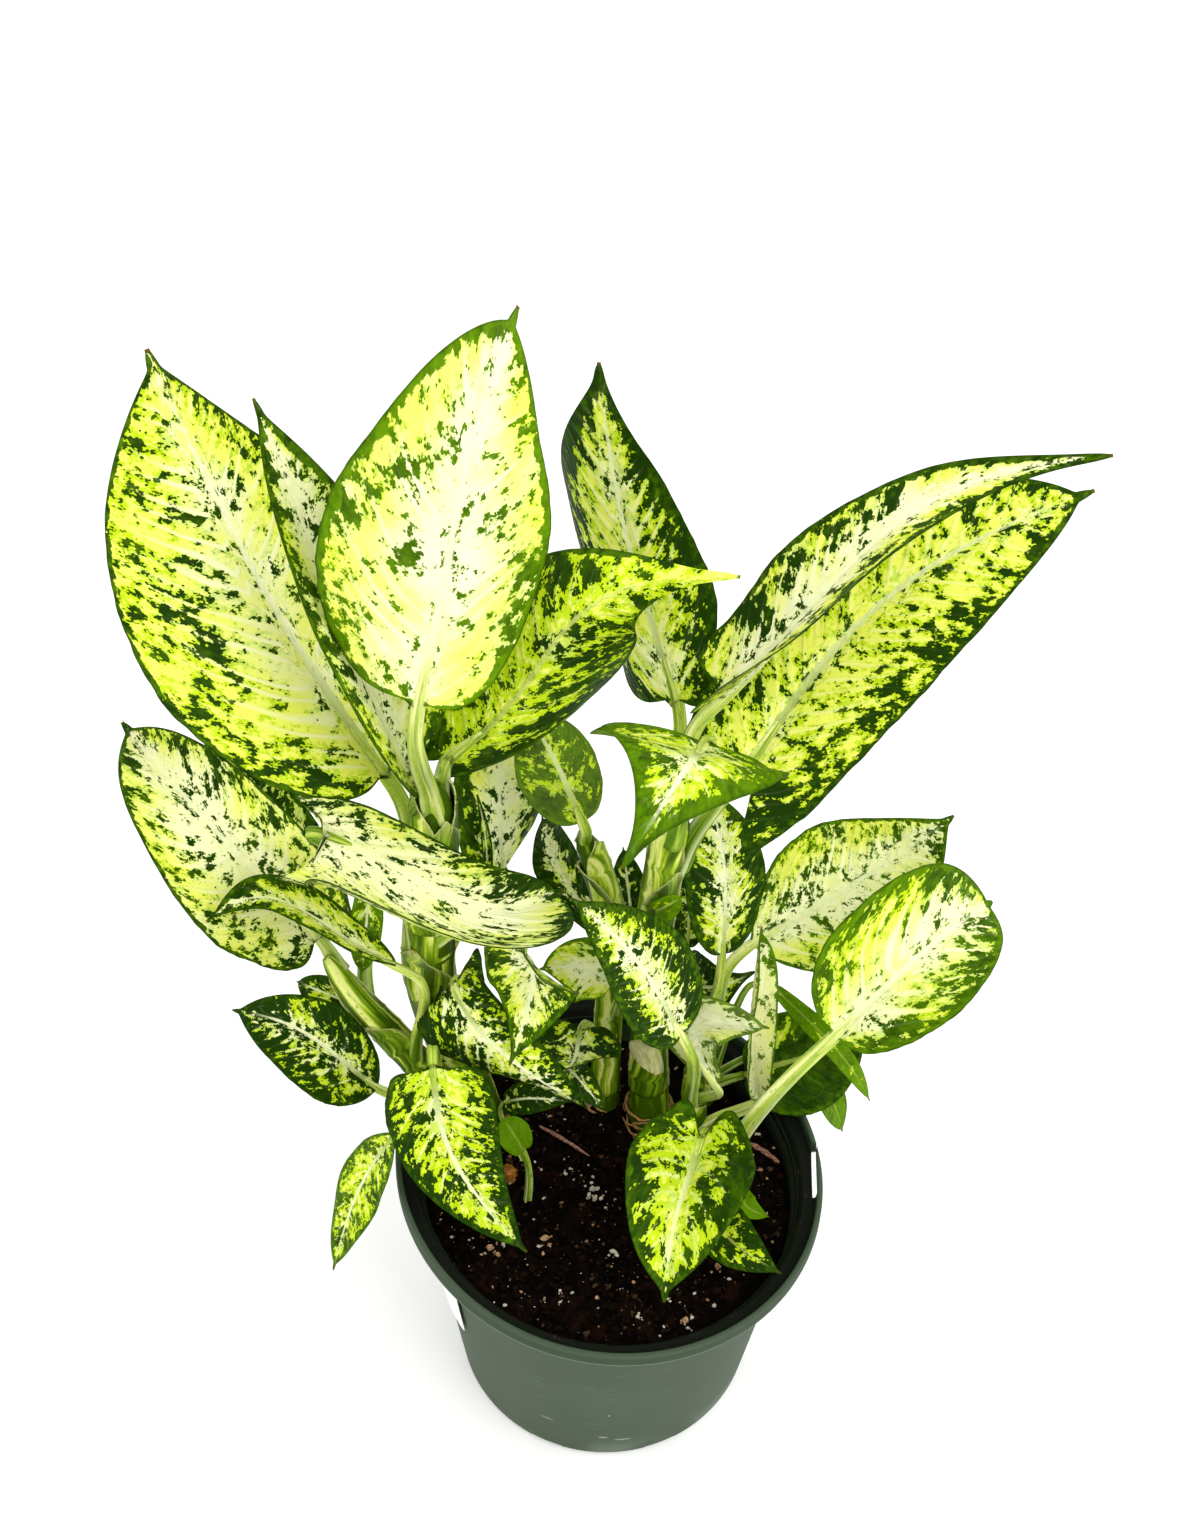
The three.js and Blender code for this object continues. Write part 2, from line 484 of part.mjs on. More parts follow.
function rowsOf(length) {
  if (length < TINY_LEAF) {
    return TINY_ROWS;
  }
  return length < LARGE_LEAF ? SMALL_ROWS : LARGE_ROWS;
}

// The blade as a closed slab, split into triangles alike on both faces, with the midrib raised underneath.
function blade(leaf) {
  const midrib = midribOf(leaf);
  const rows = rowsOf(midrib.length);
  const across = COLUMNS.length;
  const along = stations(rows);
  const upper = along.map((t) => COLUMNS.map((v) => bladePoint(leaf, midrib, t, v)));
  const points = upper.flat();
  for (let i = 0; i < rows; i += 1) {
    for (let j = 0; j < across; j += 1) {
      const ahead = upper[Math.min(i + 1, rows - 1)][j].clone().sub(upper[Math.max(i - 1, 0)][j]);
      const aside = upper[i][Math.min(j + 1, across - 1)].clone().sub(upper[i][Math.max(j - 1, 0)]);
      const down = ahead.cross(aside).normalize();
      const rib = COLUMNS[j] === 0 ? RIB * (1 - along[i]) * Math.min(leaf.width / 60, 1) : 0;
      points.push(upper[i][j].clone().addScaledVector(down, BLADE + rib));
    }
  }
  const triangles = [];
  const under = rows * across;
  const quad = (a, b, c, d) => triangles.push(a, b, c, a, c, d);
  for (let i = 0; i < rows - 1; i += 1) {
    for (let j = 0; j < across - 1; j += 1) {
      const a = i * across + j;
      quad(a, a + 1, a + across + 1, a + across);
      triangles.push(under + a, under + a + across + 1, under + a + 1);
      triangles.push(under + a, under + a + across, under + a + across + 1);
    }
    const left = i * across;
    const right = left + across - 1;
    quad(left, left + across, under + left + across, under + left);
    quad(right, under + right, under + right + across, right + across);
  }
  for (let j = 0; j < across - 1; j += 1) {
    quad(j, under + j, under + j + 1, j + 1);
    const end = (rows - 1) * across + j;
    quad(end, end + 1, under + end + 1, under + end);
  }
  return geometryOf(points, triangles);
}

// The stalk leaves the cane, bends into the line of the midrib and runs out under the blade.
function stalk(leaf, extra = 0) {
  const midrib = midribOf(leaf);
  const root = vec(leaf.root);
  const base = vec(leaf.base);
  const reach = base.distanceTo(root);
  const start = midrib.frame(0);
  const depart = base.clone().sub(root).normalize().add(new THREE.Vector3(0, 0, 0.8)).normalize();
  const thin = leaf.stalk[1];
  const bezier = new THREE.CubicBezierCurve3(
    root,
    root.clone().addScaledVector(depart, reach * 0.4),
    base.clone().addScaledVector(start.along, -reach * 0.35).addScaledVector(start.normal, -thin * 0.8),
    base.clone().addScaledVector(start.normal, -thin * 0.75),
  );
  const axis = [0, 0.25, 0.5, 0.75, 1].map((u) => bezier.getPoint(u));
  const radii = axis.map((_, i) => leaf.stalk[0] + ((thin - leaf.stalk[0]) * i) / 4);
  const runOut = 0.12;
  axis.push(midrib.point(runOut).addScaledVector(midrib.frame(runOut).normal, -0.7 - thin * 0.3));
  radii.push(thin * 0.6);
  return limb(axis, radii, leaf.stalk[0] > 2.5 ? 6 : 5, reach > 50 ? 6 : 4, extra);
}

// Out of round: the radius grows and shrinks twice around the pot, by a share that rises with height.
function ovalShare(height, turn) {
  const level = THREE.MathUtils.clamp(height / POT_HEIGHT, 0, 1.1);
  return 1 + OVAL * level * level * Math.cos(2 * (turn - OVAL_TURN));
}

function makeOval(geometry) {
  const position = geometry.attributes.position;
  for (let i = 0; i < position.count; i += 1) {
    const share = ovalShare(position.getZ(i), Math.atan2(position.getY(i), position.getX(i)));
    position.setXY(i, position.getX(i) * share, position.getY(i) * share);
  }
  return geometry;
}

// A closed turning of a profile around Z.
function turned(profile, sides) {
  const g = new THREE.LatheGeometry(profile.map(([r, z]) => new THREE.Vector2(r, z)), sides);
  g.rotateX(Math.PI / 2);
  return g;
}

const wallOut = (z) => BASE_RADIUS + ((BODY_TOP_RADIUS - BASE_RADIUS) * z) / (POT_HEIGHT - LIP_DEPTH);

function pot() {
  const lip = POT_HEIGHT - LIP_DEPTH;
  const profile = [
    [0, 0],
    [BASE_RADIUS - 4, 0],
    [BASE_RADIUS - 1.2, 0.6],
    [wallOut(3), 3],
    [wallOut(lip), lip],
    [RIM_RADIUS - 0.5, lip],
    [RIM_RADIUS, lip + 0.8],
    [RIM_RADIUS, POT_HEIGHT - 1],
    [RIM_RADIUS - 0.8, POT_HEIGHT],
    [RIM_RADIUS - LIP_WIDTH, POT_HEIGHT],
    [wallOut(lip) - WALL + 1.5, POT_HEIGHT - 3],
    [wallOut(lip) - WALL, lip - 3],
    [wallOut(FLOOR + 2) - WALL, FLOOR + 2],
    [wallOut(FLOOR) - WALL - 2, FLOOR],
    [0, FLOOR],
  ];
  let solid = toSolid(makeOval(turned(profile, POT_SIDES)));
  for (let i = 0; i < DRAINS; i += 1) {
    const turn = (2 * Math.PI * (i + 0.5)) / DRAINS;
    const notch = new THREE.BoxGeometry(DRAIN_DEPTH, DRAIN_WIDTH, 2 * DRAIN_HEIGHT);
    notch.translate(BASE_RADIUS, 0, 0);
    notch.rotateZ(turn);
    solid = solid.subtract(toSolid(notch));
  }
  const slot = new THREE.BoxGeometry(SLOT_WIDTH, SLOT_LENGTH, 2 * LIP_DEPTH);
  slot.translate((RIM_RADIUS - 2.4) * ovalShare(POT_HEIGHT, SLOT_TURN), 0, POT_HEIGHT);
  slot.rotateZ(SLOT_TURN);
  return toGeometry(largest(solid.subtract(toSolid(slot))));
}

const soilEdge = (z) => wallOut(z) - WALL - GAP - 0.1;

function soil(holes) {
  const random = makeRandom(7);
  const profile = [[0, FLOOR + GAP], [soilEdge(FLOOR) - 2.5, FLOOR + GAP], [soilEdge(8), 8]];
  profile.push([soilEdge(SOIL_LEVEL - 2), SOIL_LEVEL - 2]);
  for (let i = 1; i < SOIL_RINGS; i += 1) {
    profile.push([soilEdge(SOIL_LEVEL) * (1 - i / SOIL_RINGS), SOIL_LEVEL]);
  }
  profile.push([0, SOIL_LEVEL]);
  const shape = mergeVertices(stripped(makeOval(turned(profile, POT_SIDES))), 1e-3);
  const position = shape.attributes.position;
  for (let i = 0; i < position.count; i += 1) {
    if (position.getZ(i) > SOIL_LEVEL - 1) {
      position.setZ(i, position.getZ(i) + (random() - 0.4) * 2 * SOIL_LUMP);
    }
  }
  let solid = toSolid(shape);
  for (let i = 0; i < GRAINS; i += 1) {
    const turn = 2 * Math.PI * random();
    const out = 62 * Math.sqrt(random());
    const grain = new THREE.IcosahedronGeometry(GRAIN_SIZE[0] + (GRAIN_SIZE[1] - GRAIN_SIZE[0]) * random() ** 2, 0);
    grain.rotateX(3 * random());
    grain.translate(out * Math.cos(turn), out * Math.sin(turn), SOIL_LEVEL + 1.2);
    solid = solid.add(toSolid(grain));
  }
  for (const hole of holes) {
    solid = solid.subtract(hole);
  }
  return toGeometry(largest(solid));
}

function stripped(geometry) {
  geometry.deleteAttribute("normal");
  geometry.deleteAttribute("uv");
  return geometry;
}

// The main body of a solid, without crumbs or slivers left by a cut.
function largest(solid) {
  const bodies = solid.asOriginal().simplify(LEAST_EDGE).decompose();
  bodies.sort((a, b) => b.volume() - a.volume());
  return bodies[0];
}

// A thin blank label that follows the pot's wall.
function label() {
  const across = 6;
  const up = 3;
  const points = [];
  const triangles = [];
  for (const lift of [GAP, GAP + LABEL_THICK]) {
    for (let i = 0; i <= up; i += 1) {
      for (let j = 0; j <= across; j += 1) {
        const z = LABEL_LEVEL - LABEL_HEIGHT / 2 + (LABEL_HEIGHT * i) / up;
        const turn = LABEL_TURN + ((j / across - 0.5) * LABEL_WIDTH) / wallOut(LABEL_LEVEL);
        const r = wallOut(z) * ovalShare(z, turn) + lift;
        points.push(new THREE.Vector3(r * Math.cos(turn), r * Math.sin(turn), z));
      }
    }
  }
  const row = across + 1;
  const out = (up + 1) * row;
  for (let i = 0; i < up; i += 1) {
    for (let j = 0; j < across; j += 1) {
      const a = i * row + j;
      triangles.push(a, a + row + 1, a + 1, a, a + row, a + row + 1);
      triangles.push(out + a, out + a + 1, out + a + row + 1, out + a, out + a + row + 1, out + a + row);
    }
    const l = i * row;
    const r = l + across;
    triangles.push(l, out + l, out + l + row, l, out + l + row, l + row);
    triangles.push(r, r + row, out + r + row, r, out + r + row, out + r);
  }
  for (let j = 0; j < across; j += 1) {
    const t = up * row + j;
    triangles.push(j, j + 1, out + j + 1, j, out + j + 1, out + j);
    triangles.push(t, out + t, out + t + 1, t, out + t + 1, t + 1);
  }
  return geometryOf(points, triangles);
}

function caneSolid(cane, extra) {
  const sides = cane.radii[0] > 6 ? 10 : 8;
  return toSolid(limb(cane.axis, cane.radii, sides, 2 * (cane.axis.length - 1), extra));
}

function litterSolid(piece, extra) {
  return toSolid(limb(piece.axis, piece.radii, 6, 4, extra));
}

// A leaf grown as one piece, its blade and its stalk. The stalk ends just off the cane that carries it.
function leafSolid(leaf) {
  const whole = toSolid(blade(leaf)).add(toSolid(stalk(leaf)));
  return largest(leaf.cane === null ? whole : whole.subtract(caneSolid(CANES[leaf.cane], GAP)));
}

const surface = (colour, roughness) => new THREE.MeshStandardMaterial({ color: colour, roughness, metalness: 0 });
const potFinish = () => surface(0x4c6350, 0.55);
const soilFinish = () => surface(0x1d1714, 0.95);
const labelFinish = () => surface(0xf2f2ee, 0.6);
const caneFinish = () => surface(0x9fb552, 0.45);
const leafFinish = () => surface(0xb9cf63, 0.4);
const barkFinish = () => surface(0x8a6a52, 0.85);

const plant = new THREE.Group();

function place(name, geometry, material) {
  const mesh = new THREE.Mesh(geometry, material);
  mesh.name = name;
  plant.add(mesh);
}

const canes = Object.entries(CANES);
const litter = Object.entries(LITTER);
const seedlings = LEAVES.filter((leaf) => leaf.cane === null);
const holes = [
  ...canes.map(([, cane]) => caneSolid(cane, GAP)),
  ...litter.map(([, piece]) => litterSolid(piece, GAP)),
  ...seedlings.map((leaf) => toSolid(stalk(leaf, GAP))),
];

place("pot", pot(), potFinish());
place("soil", soil(holes), soilFinish());
place("blank_label", label(), labelFinish());
for (const [name, cane] of canes) {
  place(name, toGeometry(caneSolid(cane, 0)), caneFinish());
}
for (const leaf of LEAVES) {
  place(leaf.name, toGeometry(leafSolid(leaf)), leafFinish());
}
for (const [name, piece] of litter) {
  place(name, toGeometry(litterSolid(piece, 0)), barkFinish());
}

export default plant;
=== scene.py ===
"""A young variegated dieffenbachia in a round nursery pot.

Every leaf, cane and shoot, the pot, its soil, the blank label and the litter on the soil are rebuilt here as
fine meshes over the measured solids of the frame, with their markings and finishes. The tables below are in
millimetres, and meshes are made in metres. +Z is up, the origin is under the pot and -Y is the pot's front.
"""

import math
from itertools import combinations

import bpy
import numpy as np
from mathutils import Matrix, Vector, noise


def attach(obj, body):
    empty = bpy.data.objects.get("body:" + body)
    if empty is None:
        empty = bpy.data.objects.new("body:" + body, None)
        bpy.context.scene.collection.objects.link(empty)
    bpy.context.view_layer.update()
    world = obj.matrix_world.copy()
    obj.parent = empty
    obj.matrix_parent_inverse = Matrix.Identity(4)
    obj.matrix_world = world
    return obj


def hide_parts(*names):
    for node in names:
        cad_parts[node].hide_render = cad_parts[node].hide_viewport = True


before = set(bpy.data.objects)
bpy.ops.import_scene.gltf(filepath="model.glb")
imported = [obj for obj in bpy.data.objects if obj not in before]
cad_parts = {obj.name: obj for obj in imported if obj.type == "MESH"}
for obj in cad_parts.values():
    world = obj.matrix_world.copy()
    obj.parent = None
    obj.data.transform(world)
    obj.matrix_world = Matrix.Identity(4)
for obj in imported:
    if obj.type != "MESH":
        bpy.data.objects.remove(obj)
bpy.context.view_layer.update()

bl_info = {
    "name": "Potted Dieffenbachia",
    "version": (1, 0, 0),
    "blender": (4, 5, 0),
    "location": "3D View > Sidebar > Dieffenbachia",
    "description": "Grows a variegated dieffenbachia in a nursery pot",
    "category": "Add Mesh",
}

MM = 0.001
BODY = "root"

# The camera: its place, how far it looks down and leans over, and its focal length for a picture of this
# height.
EYE = (-5, -413, 679)
PITCH = math.radians(41.45)
ROLL = math.radians(0.8)
FOCAL = 1800
PICTURE_HEIGHT = 1527
SENSOR = 36
FLOOR_REACH = 3000

# What the soft lights look at, in metres.
LIT_POINT = (0, 0, 0.2)

# The pot, as turned: heights and radii in millimetres.
POT_HEIGHT = 117
RIM_RADIUS = 82.5
LIP_WIDTH = 5
LIP_DEPTH = 6.5
LIP_LEVEL = POT_HEIGHT - LIP_DEPTH
BODY_TOP_RADIUS = 74
BASE_RADIUS = 59
WALL = 1.3
FLOOR = 3
OVAL = 0.045
OVAL_TURN = math.radians(-62)
SEAM = 12
DRAINS = 8
DRAIN_WIDTH = 13
DRAIN_HEIGHT = 3.6
DRAIN_DEPTH = 9
SLOT_TURN = math.radians(-3)
SLOT_LENGTH = 22
SLOT_WIDTH = 1.9
SLOT_INSET = 2.4
POT_ROUNDING = 1.1
SOIL_LEVEL = 98
LABEL_SIZE = 30
LABEL_TURN = math.radians(-157)
LABEL_LEVEL = 70
LABEL_CORNER = 0.12
LABEL_THICKNESS = 0.2
LABEL_PEEL = 0.5
GAP = 0.35

# How many points lie along and across each kind of surface. A blade longer than LONG_BLADE has the finer
# grid.
LONG_BLADE = 70
LONG_BLADE_GRID = (110, 49)
BLADE_GRID = (64, 33)
STALK_GRID = (36, 28)
CANE_GRID = (120, 40)
SHEATH_GRID = (44, 25)
FIBRE_GRID = (16, 7)
LITTER_GRID = (40, 16)
LABEL_GRID = (33, 33)
SOIL_GRID = (90, 220)

# The angles in degrees from which an edge stays sharp.
POT_CREASE = 35
SOIL_CREASE = 50
LABEL_CREASE = 40

# The first seed of each kind of piece.
SOIL_SEED = 7
LEAF_SEED = 100
CANE_SEED = 300
LITTER_SEED = 500

# Stones that stand out on the soil: their place, their size and which of the soil's finishes they have.
STONES = (
    (-5.4, -2.6, 2.0, 3), (-4.6, -6.7, 1.7, 3), (-6.9, -4.9, 1.2, 3), (-9.5, -10.4, 1.5, 4),
    (-43.5, -29.4, 1.6, 5), (-40.4, -32, 1.3, 5), (-38.7, -28.1, 1.1, 3), (2.4, -30.4, 1.6, 3),
    (11.5, -57.4, 1.2, 3), (28.8, -58.8, 1.6, 5), (31, -57.5, 1.0, 3), (41.2, -36.2, 1.8, 5),
    (59.7, 7.8, 1.2, 5), (-16.3, 4.6, 1.1, 3), (-23.1, -25.2, 2.0, 5), (-14.5, 7, 0.8, 3),
    (29.5, -61.6, 1.0, 3), (-16.9, -47.6, 0.8, 3), (6.8, -47.3, 0.9, 3), (22.5, -49.9, 0.9, 3),
    (-16.8, -51.8, 0.8, 3), (-37.9, 9.4, 2.2, 4),
)

# A blade: the ripples along its margin and the rib under it, the width from which its relief is full, where
# its lobes stand back furthest, where its body ends, how wide its pointed end is and where that starts, and
# how much its side veins bend towards the tip. Then how wide and how long its specks are at size 1.
WAVES = 2.5
RIPPLE = 0.02
RIB = 1.5
FULL_WIDTH = 60
LOBE_AT = 0.08
BODY_END = 0.96
CUSP = 0.42
CUSP_START = 0.55
VEIN_BEND = 0.45
SPECK_WIDTH = 1.9
SPECK_LENGTH = 3.3

# A stalk: how deep its channel is and where that ends, and how high its lips are, how far round and how far
# up.
CHANNEL = 0.34
CHANNEL_WIDTH = 0.5
LIP_RISE = 0.42
LIP_TURN = 0.8
LIP_END = 0.62

# Each leaf: where its stalk leaves the cane, the two ends of its blade, where its upper side looks and the
# stalk's radius at its ends. Then its form: width, bow, sway, twist, fold, curl, skew, uneven, lobe, full and
# taper. Then its markings: how readily dark specks show at the midrib and near the margin, and how far out
# that changes; the width of the green margin; how white and how lime the pale parts are; the size of a speck;
# how dark the greens are; and how far the side veins lean towards the tip.
LEAVES = (
    ("left_fan", (-66, 26, 232), (-78, 42, 272), (-147, 88, 405), (0.1, -0.9, 0.4), (3.4, 2.6),
     (93, 0, -5, -46, 27, -15, 0.9, -0.02, 0.04, 0.64, 0.87), (-2.1, -1, 0.55, 1.5, 0.2, -0.1, 0.85, 0.8, 0.75)),
    ("left_upright", (-60, 29, 262), (-62, 20, 321), (-30, 57, 437), (0.3, -0.9, 0.2), (3.2, 2.4),
     (68, 14, -8, 50, 12, -25, 1.85, -0.15, 0.03, 0.51, 0.69), (-2, -1, 0.75, 2.8, 0.6, -0.7, 0.95, 0.42, 0.9)),
    ("left_edgewise", (-63, 34, 266), (-69, 34, 281), (-108, 52, 409), (0.7, -0.6, 0.3), (3, 2.4),
     (44, 4, -4, -33, 28, 8, 0.6, 0.09, 0.08, 0.6, 0.97), (-1.6, 0, 0.5, 2.2, 0.5, 0, 0.9, 0.7, 0.9)),
    ("left_hooked", (-59, 36, 266), (-54, 38, 283), (37, 36, 359), (-0.2, -1, 0.2), (3, 2.3),
     (60, 14, -21, -15, -19, -41, 1.85, 0.01, 0.16, 1.14, 1.57), (-1.3, 0.4, 0.4, 1.6, -0.25, 1, 0.85, 0.8, 0.6)),
    ("left_pale", (-98, 27, 188), (-107, 35, 197), (-172, 66, 272), (0.3, -0.8, 0.5), (2.8, 2.2),
     (64, 22, 0, 9, 41, 2, 1.6, -0.02, 0.09, 0.66, 0.87), (-2.1, -1.2, 0.5, 1.4, 0.6, -0.4, 0.8, 0.8, 0.6)),
    ("left_hidden", (-90, 27, 172), (-97, 54, 183), (-147, 76, 256), (0.2, -0.9, 0.3), (2.6, 2),
     (48, 6, -10, 0, 10, -16, 0.8, 0.03, 0, 0.7, 0.72), (-2, -0.7, 0.5, 1.5, 0.6, -0.4, 0.9, 0.8, 0.6)),
    ("left_sweeping", (-65, 26, 228), (-95, 10, 273), (-17, 12, 247), (0.4, -0.7, 0.75), (2.8, 2.2),
     (62, 15, 12, -15, 36, 48, 1.55, 0.35, 0.22, 0.3, 0.64), (-1.6, -0.8, 0.7, 1.6, 0.7, -0.3, 0.7, 0.9, 1.5)),
    ("left_folded", (-73, 17, 147), (-75, 12, 209), (-135, 0, 242), (0.35, 0, 0.93), (2.2, 1.6),
     (20, 1, 16, -26, 21, -22, 1.62, 0.14, 0.01, 0.71, 0.92), (-1.6, 0, 0.5, 1.5, 0.2, 0.1, 0.75, 0.75, 0.8)),
    ("left_low", (-62, 14, 122), (-86, 8, 145), (-138, 19, 175), (0.4, -0.5, 0.8), (2.4, 1.8),
     (34, 14, 2, -2, 16, -4, 1.4, -0.14, 0, 0.64, 0.86), (0, 1.2, 0.45, 1.4, 0.15, 0.8, 0.6, 1, 0.5)),
    ("left_olive", (-69, 31, 200), (-85, 36, 231), (-92, 34, 179), (0.1, -0.9, 0.4), (1.8, 1.3),
     (12, 3, 0, 10, 16, -12, 1, 0, 0.06, 0.6, 0.7), (0, 0.8, 0.5, 1, 0, 1.2, 0.8, 0.35, 0.5)),
    ("left_behind", (-84, 26, 156), (-95, 30, 166), (-117, 35, 173), (0.2, -0.7, 0.7), (1.5, 1.1),
     (13, 3, 0, 0, 14, -10, 1, 0, 0.06, 0.6, 0.7), (0.2, 1.2, 0.4, 1.2, 0, 0.8, 0.7, 0.9, 0.5)),
    ("front_heart", (-64, 14, 128), (-62, -12, 181), (-29, -44, 118), (0.1, -0.9, 0.5), (2.4, 1.9),
     (39, -11, 10, 8, 11, -21, 1, -0.05, 0.05, 0.31, 0.85), (-0.9, 0.7, 0.55, 2, 0, 1, 0.75, 0.95, 0.7)),
    ("left_drooping", (-56, 9, 100), (-77, -17, 150), (-104, -28, 80), (-0.7, -0.6, 0.3), (1.8, 1.3),
     (22, -2, 6, 10, 12, -24, 1, -0.02, 0, 0.75, 0.82), (-0.9, 0.2, 0.5, 1.4, 0, 0.9, 0.6, 0.6, 0.9)),
    ("middle_heart", (-58, 27, 150), (-56, 13, 197), (-8, -3, 148), (-0.2, -1, 0.3), (2.2, 1.7),
     (34, 12, -1, 64, -13, -24, 0.64, 0.27, 0.32, 0.38, 0.76), (-0.8, 1.2, 0.4, 1.8, 0.2, 0.5, 0.7, 1, 0.6)),
    ("middle_curled", (-62, 25, 208), (-31, -4, 235), (-35, -13, 185), (-0.2, -1, 0.2), (2.2, 1.7),
     (35, -19, -2, -58, 23, -16, 1.2, -0.08, 0.09, 0.58, 0.98), (-1.1, 0.5, 0.5, 1.8, 0.4, 0.1, 0.65, 0.7, 0.7)),
    ("middle_pale", (0, 41, 140), (1, 30, 179), (-26, 30, 187), (0.2, -0.9, 0.4), (1.8, 1.4),
     (27, 8, 7, -3, 12, -16, 1, 0, 0.07, 0.6, 0.95), (-2.2, -1.4, 0.5, 1.4, 0.4, 0.3, 0.7, 0.4, 0.6)),
    ("middle_mottled", (-1, 38, 118), (-11, 24, 160), (-16, 1, 166), (0, 0.2, 1), (1.8, 1.4),
     (33, -3, -1, 17, 21, -10, 1.1, -0.05, 0.15, 0.64, 0.76), (-0.6, 0.9, 0.5, 1.5, 0.2, 0.4, 0.65, 0.95, 0.6)),
    ("low_dark", (-29, 7, 88), (-40, 20, 122), (-14, 12, 133), (-0.4, -0.4, 0.8), (1.3, 1),
     (13, 7, 0, -1, 13, -15, 1.1, -0.01, 0.07, 0.6, 0.9), (0.6, 1.4, 0.5, 1.2, 0.1, 0.4, 0.6, 1, 0.6)),
    ("low_green", (-31, -10, 88), (-32, 0, 119), (-40, 8, 128), (0.3, -0.7, 0.6), (1.5, 1.2),
     (13, 2, 0, 0, 14, -12, 1, 0, 0.1, 0.55, 0.6), (4, 4, 0.5, 0.6, -0.9, 2, 0.6, 0.1, 0.5)),
    ("low_plain", (-1, 37, 102), (-16, 26, 136), (-1, 6, 135), (-0.3, -0.2, 0.9), (1.5, 1.1),
     (12, 10, 0, 0, 12, -15, 1, 0, 0.07, 0.61, 0.82), (1.2, 2, 0.5, 1, 0, 0.4, 0.6, 0.9, 0.5)),
    ("back_cream", (-60, 38, 190), (-40, 62, 205), (-42, 94, 261), (0.5, -0.7, 0.4), (2.2, 1.8),
     (41, 13, -8, -34, 5, -21, 0.8, 0.1, 0.12, 0.58, 0.77), (-1.9, 1, 0.5, 2.2, 0.4, 0, 0.85, 0.8, 0.6)),
    ("back_spear", (-56, 30, 205), (-45, 46, 219), (-48, 54, 251), (0.2, -0.9, 0.2), (1.3, 1.1),
     (6, 0, 1, 0, 50, 10, 1, 0, 0, 0.5, 1), (-0.6, 0.4, 0.5, 0.8, 0.1, 0.5, 0.6, 0.8, 1.5)),
    ("middle_round", (-10, 46, 236), (-11, 42, 250), (-31, 62, 282), (-0.2, 0.8, -0.5), (2.4, 2),
     (30, 6, -2, -4, 17, -7, 1.2, 0.02, 0.03, 0.62, 0.81), (0.3, 1, 0.5, 1.6, -0.1, 1.1, 0.6, 0.55, 0.6)),
    ("back_dark", (-1, 47, 150), (-4, 64, 172), (-26, 72, 224), (0.6, -0.8, 0.3), (2, 1.6),
     (19, -12, 1, 0, 8, -21, 0.9, -0.02, 0.05, 0.68, 0.71), (-1, 2, 0.4, 2.4, 0.4, 0, 0.75, 1, 0.7)),
    ("back_green", (1, 48, 160), (8, 60, 179), (4, 68, 213), (0.1, -0.8, 0.4), (1.5, 1.2),
     (14, 3, 0, 0, 12, -12, 1, 0, 0.06, 0.62, 0.75), (2, 2.6, 0.5, 1.5, 0.2, 0, 0.8, 1, 0.5)),
    ("right_upright", (16, 39, 240), (20, 62, 289), (-7, 85, 404), (-0.5, -0.8, 0.1), (2.9, 2.3),
     (67, -3, -7, 6, 3, -55, 1.15, -0.27, 0.08, 0.62, 1.2), (-1.9, 1.3, 0.5, 4.2, 0.15, 0.4, 0.8, 0.95, 1.1)),
    ("right_long", (21, 35, 254), (34, 40, 310), (141, 34, 405), (-0.6, -0.3, 0.7), (3, 2.4),
     (50, 14, -10, 41, 29, 8, 1.42, 0.19, 0.08, 0.38, 1.38), (-1.8, -0.1, 0.5, 1.8, 0.5, -0.3, 0.85, 0.85, 1)),
    ("right_wide", (23, 33, 238), (45, 39, 281), (145, 56, 379), (-0.5, -0.7, 0.6), (3.2, 2.6),
     (62, 6, -13, -14, 14, -12, 1.05, 0.05, 0.24, 0.5, 0.75), (-1.7, 0.1, 0.6, 1.5, -0.1, -0.1, 0.75, 0.9, 0.8)),
    ("right_facing", (20, 29, 252), (28, 20, 306), (2, -35, 304), (0.1, -0.1, 1), (2.8, 2.2),
     (62, 25, -6, -4, 7, -13, 1.5, 0.06, 0.03, 0.59, 1.34), (-1.2, 0.8, 0.5, 5, 0.1, 0.8, 0.75, 0.5, 0.6)),
    ("right_inner", (35, 41, 128), (42, 44, 181), (33, 60, 251), (0.3, -0.9, 0.2), (2.2, 1.7),
     (31, 2, 3, -3, 10, -16, 1.1, -0.01, 0.02, 0.63, 0.81), (-1.4, 0.8, 0.55, 2.4, 0.25, 0.6, 0.7, 0.85, 0.7)),
    ("right_dim", (33, 46, 129), (30, 64, 163), (28, 72, 224), (0.2, -0.8, 0.3), (1.7, 1.3),
     (16, 2, 0, 8, 14, -10, 1, 0, 0.04, 0.62, 0.75), (1, 2, 0.4, 1.5, 0.2, 0, 0.8, 1, 0.5)),
    ("right_curled", (15, 27, 205), (15, 27, 222), (24, 24, 232), (0, -0.7, 0.5), (1.6, 1.4),
     (12, 2, 0, 0, 34, 20, 1, 0, 0.05, 0.5, 0.5), (1.2, 2, 0.5, 1, -0.3, 1.6, 0.6, 0.15, 0.5)),
    ("right_blunt", (41, 44, 122), (54, 54, 176), (124, 67, 232), (-0.2, -0.9, 0.4), (2.8, 2.2),
     (58, -10, 4, 4, 15, -18, 1, 0.02, 0, 0.71, 1), (-1.7, -0.9, 0.6, 1.6, 0.5, -0.1, 0.65, 0.6, 0.6)),
    ("right_round", (44, 1, 108), (82, 14, 171), (141, 54, 201), (0, -0.6, 0.8), (3.2, 2.6),
     (58, 19, -3, 4, 26, 8, 1.2, -0.11, 0.02, 0.63, 0.74), (-1.6, 0.4, 0.6, 2.8, 0.5, 0.2, 0.8, 0.5, 0.7)),
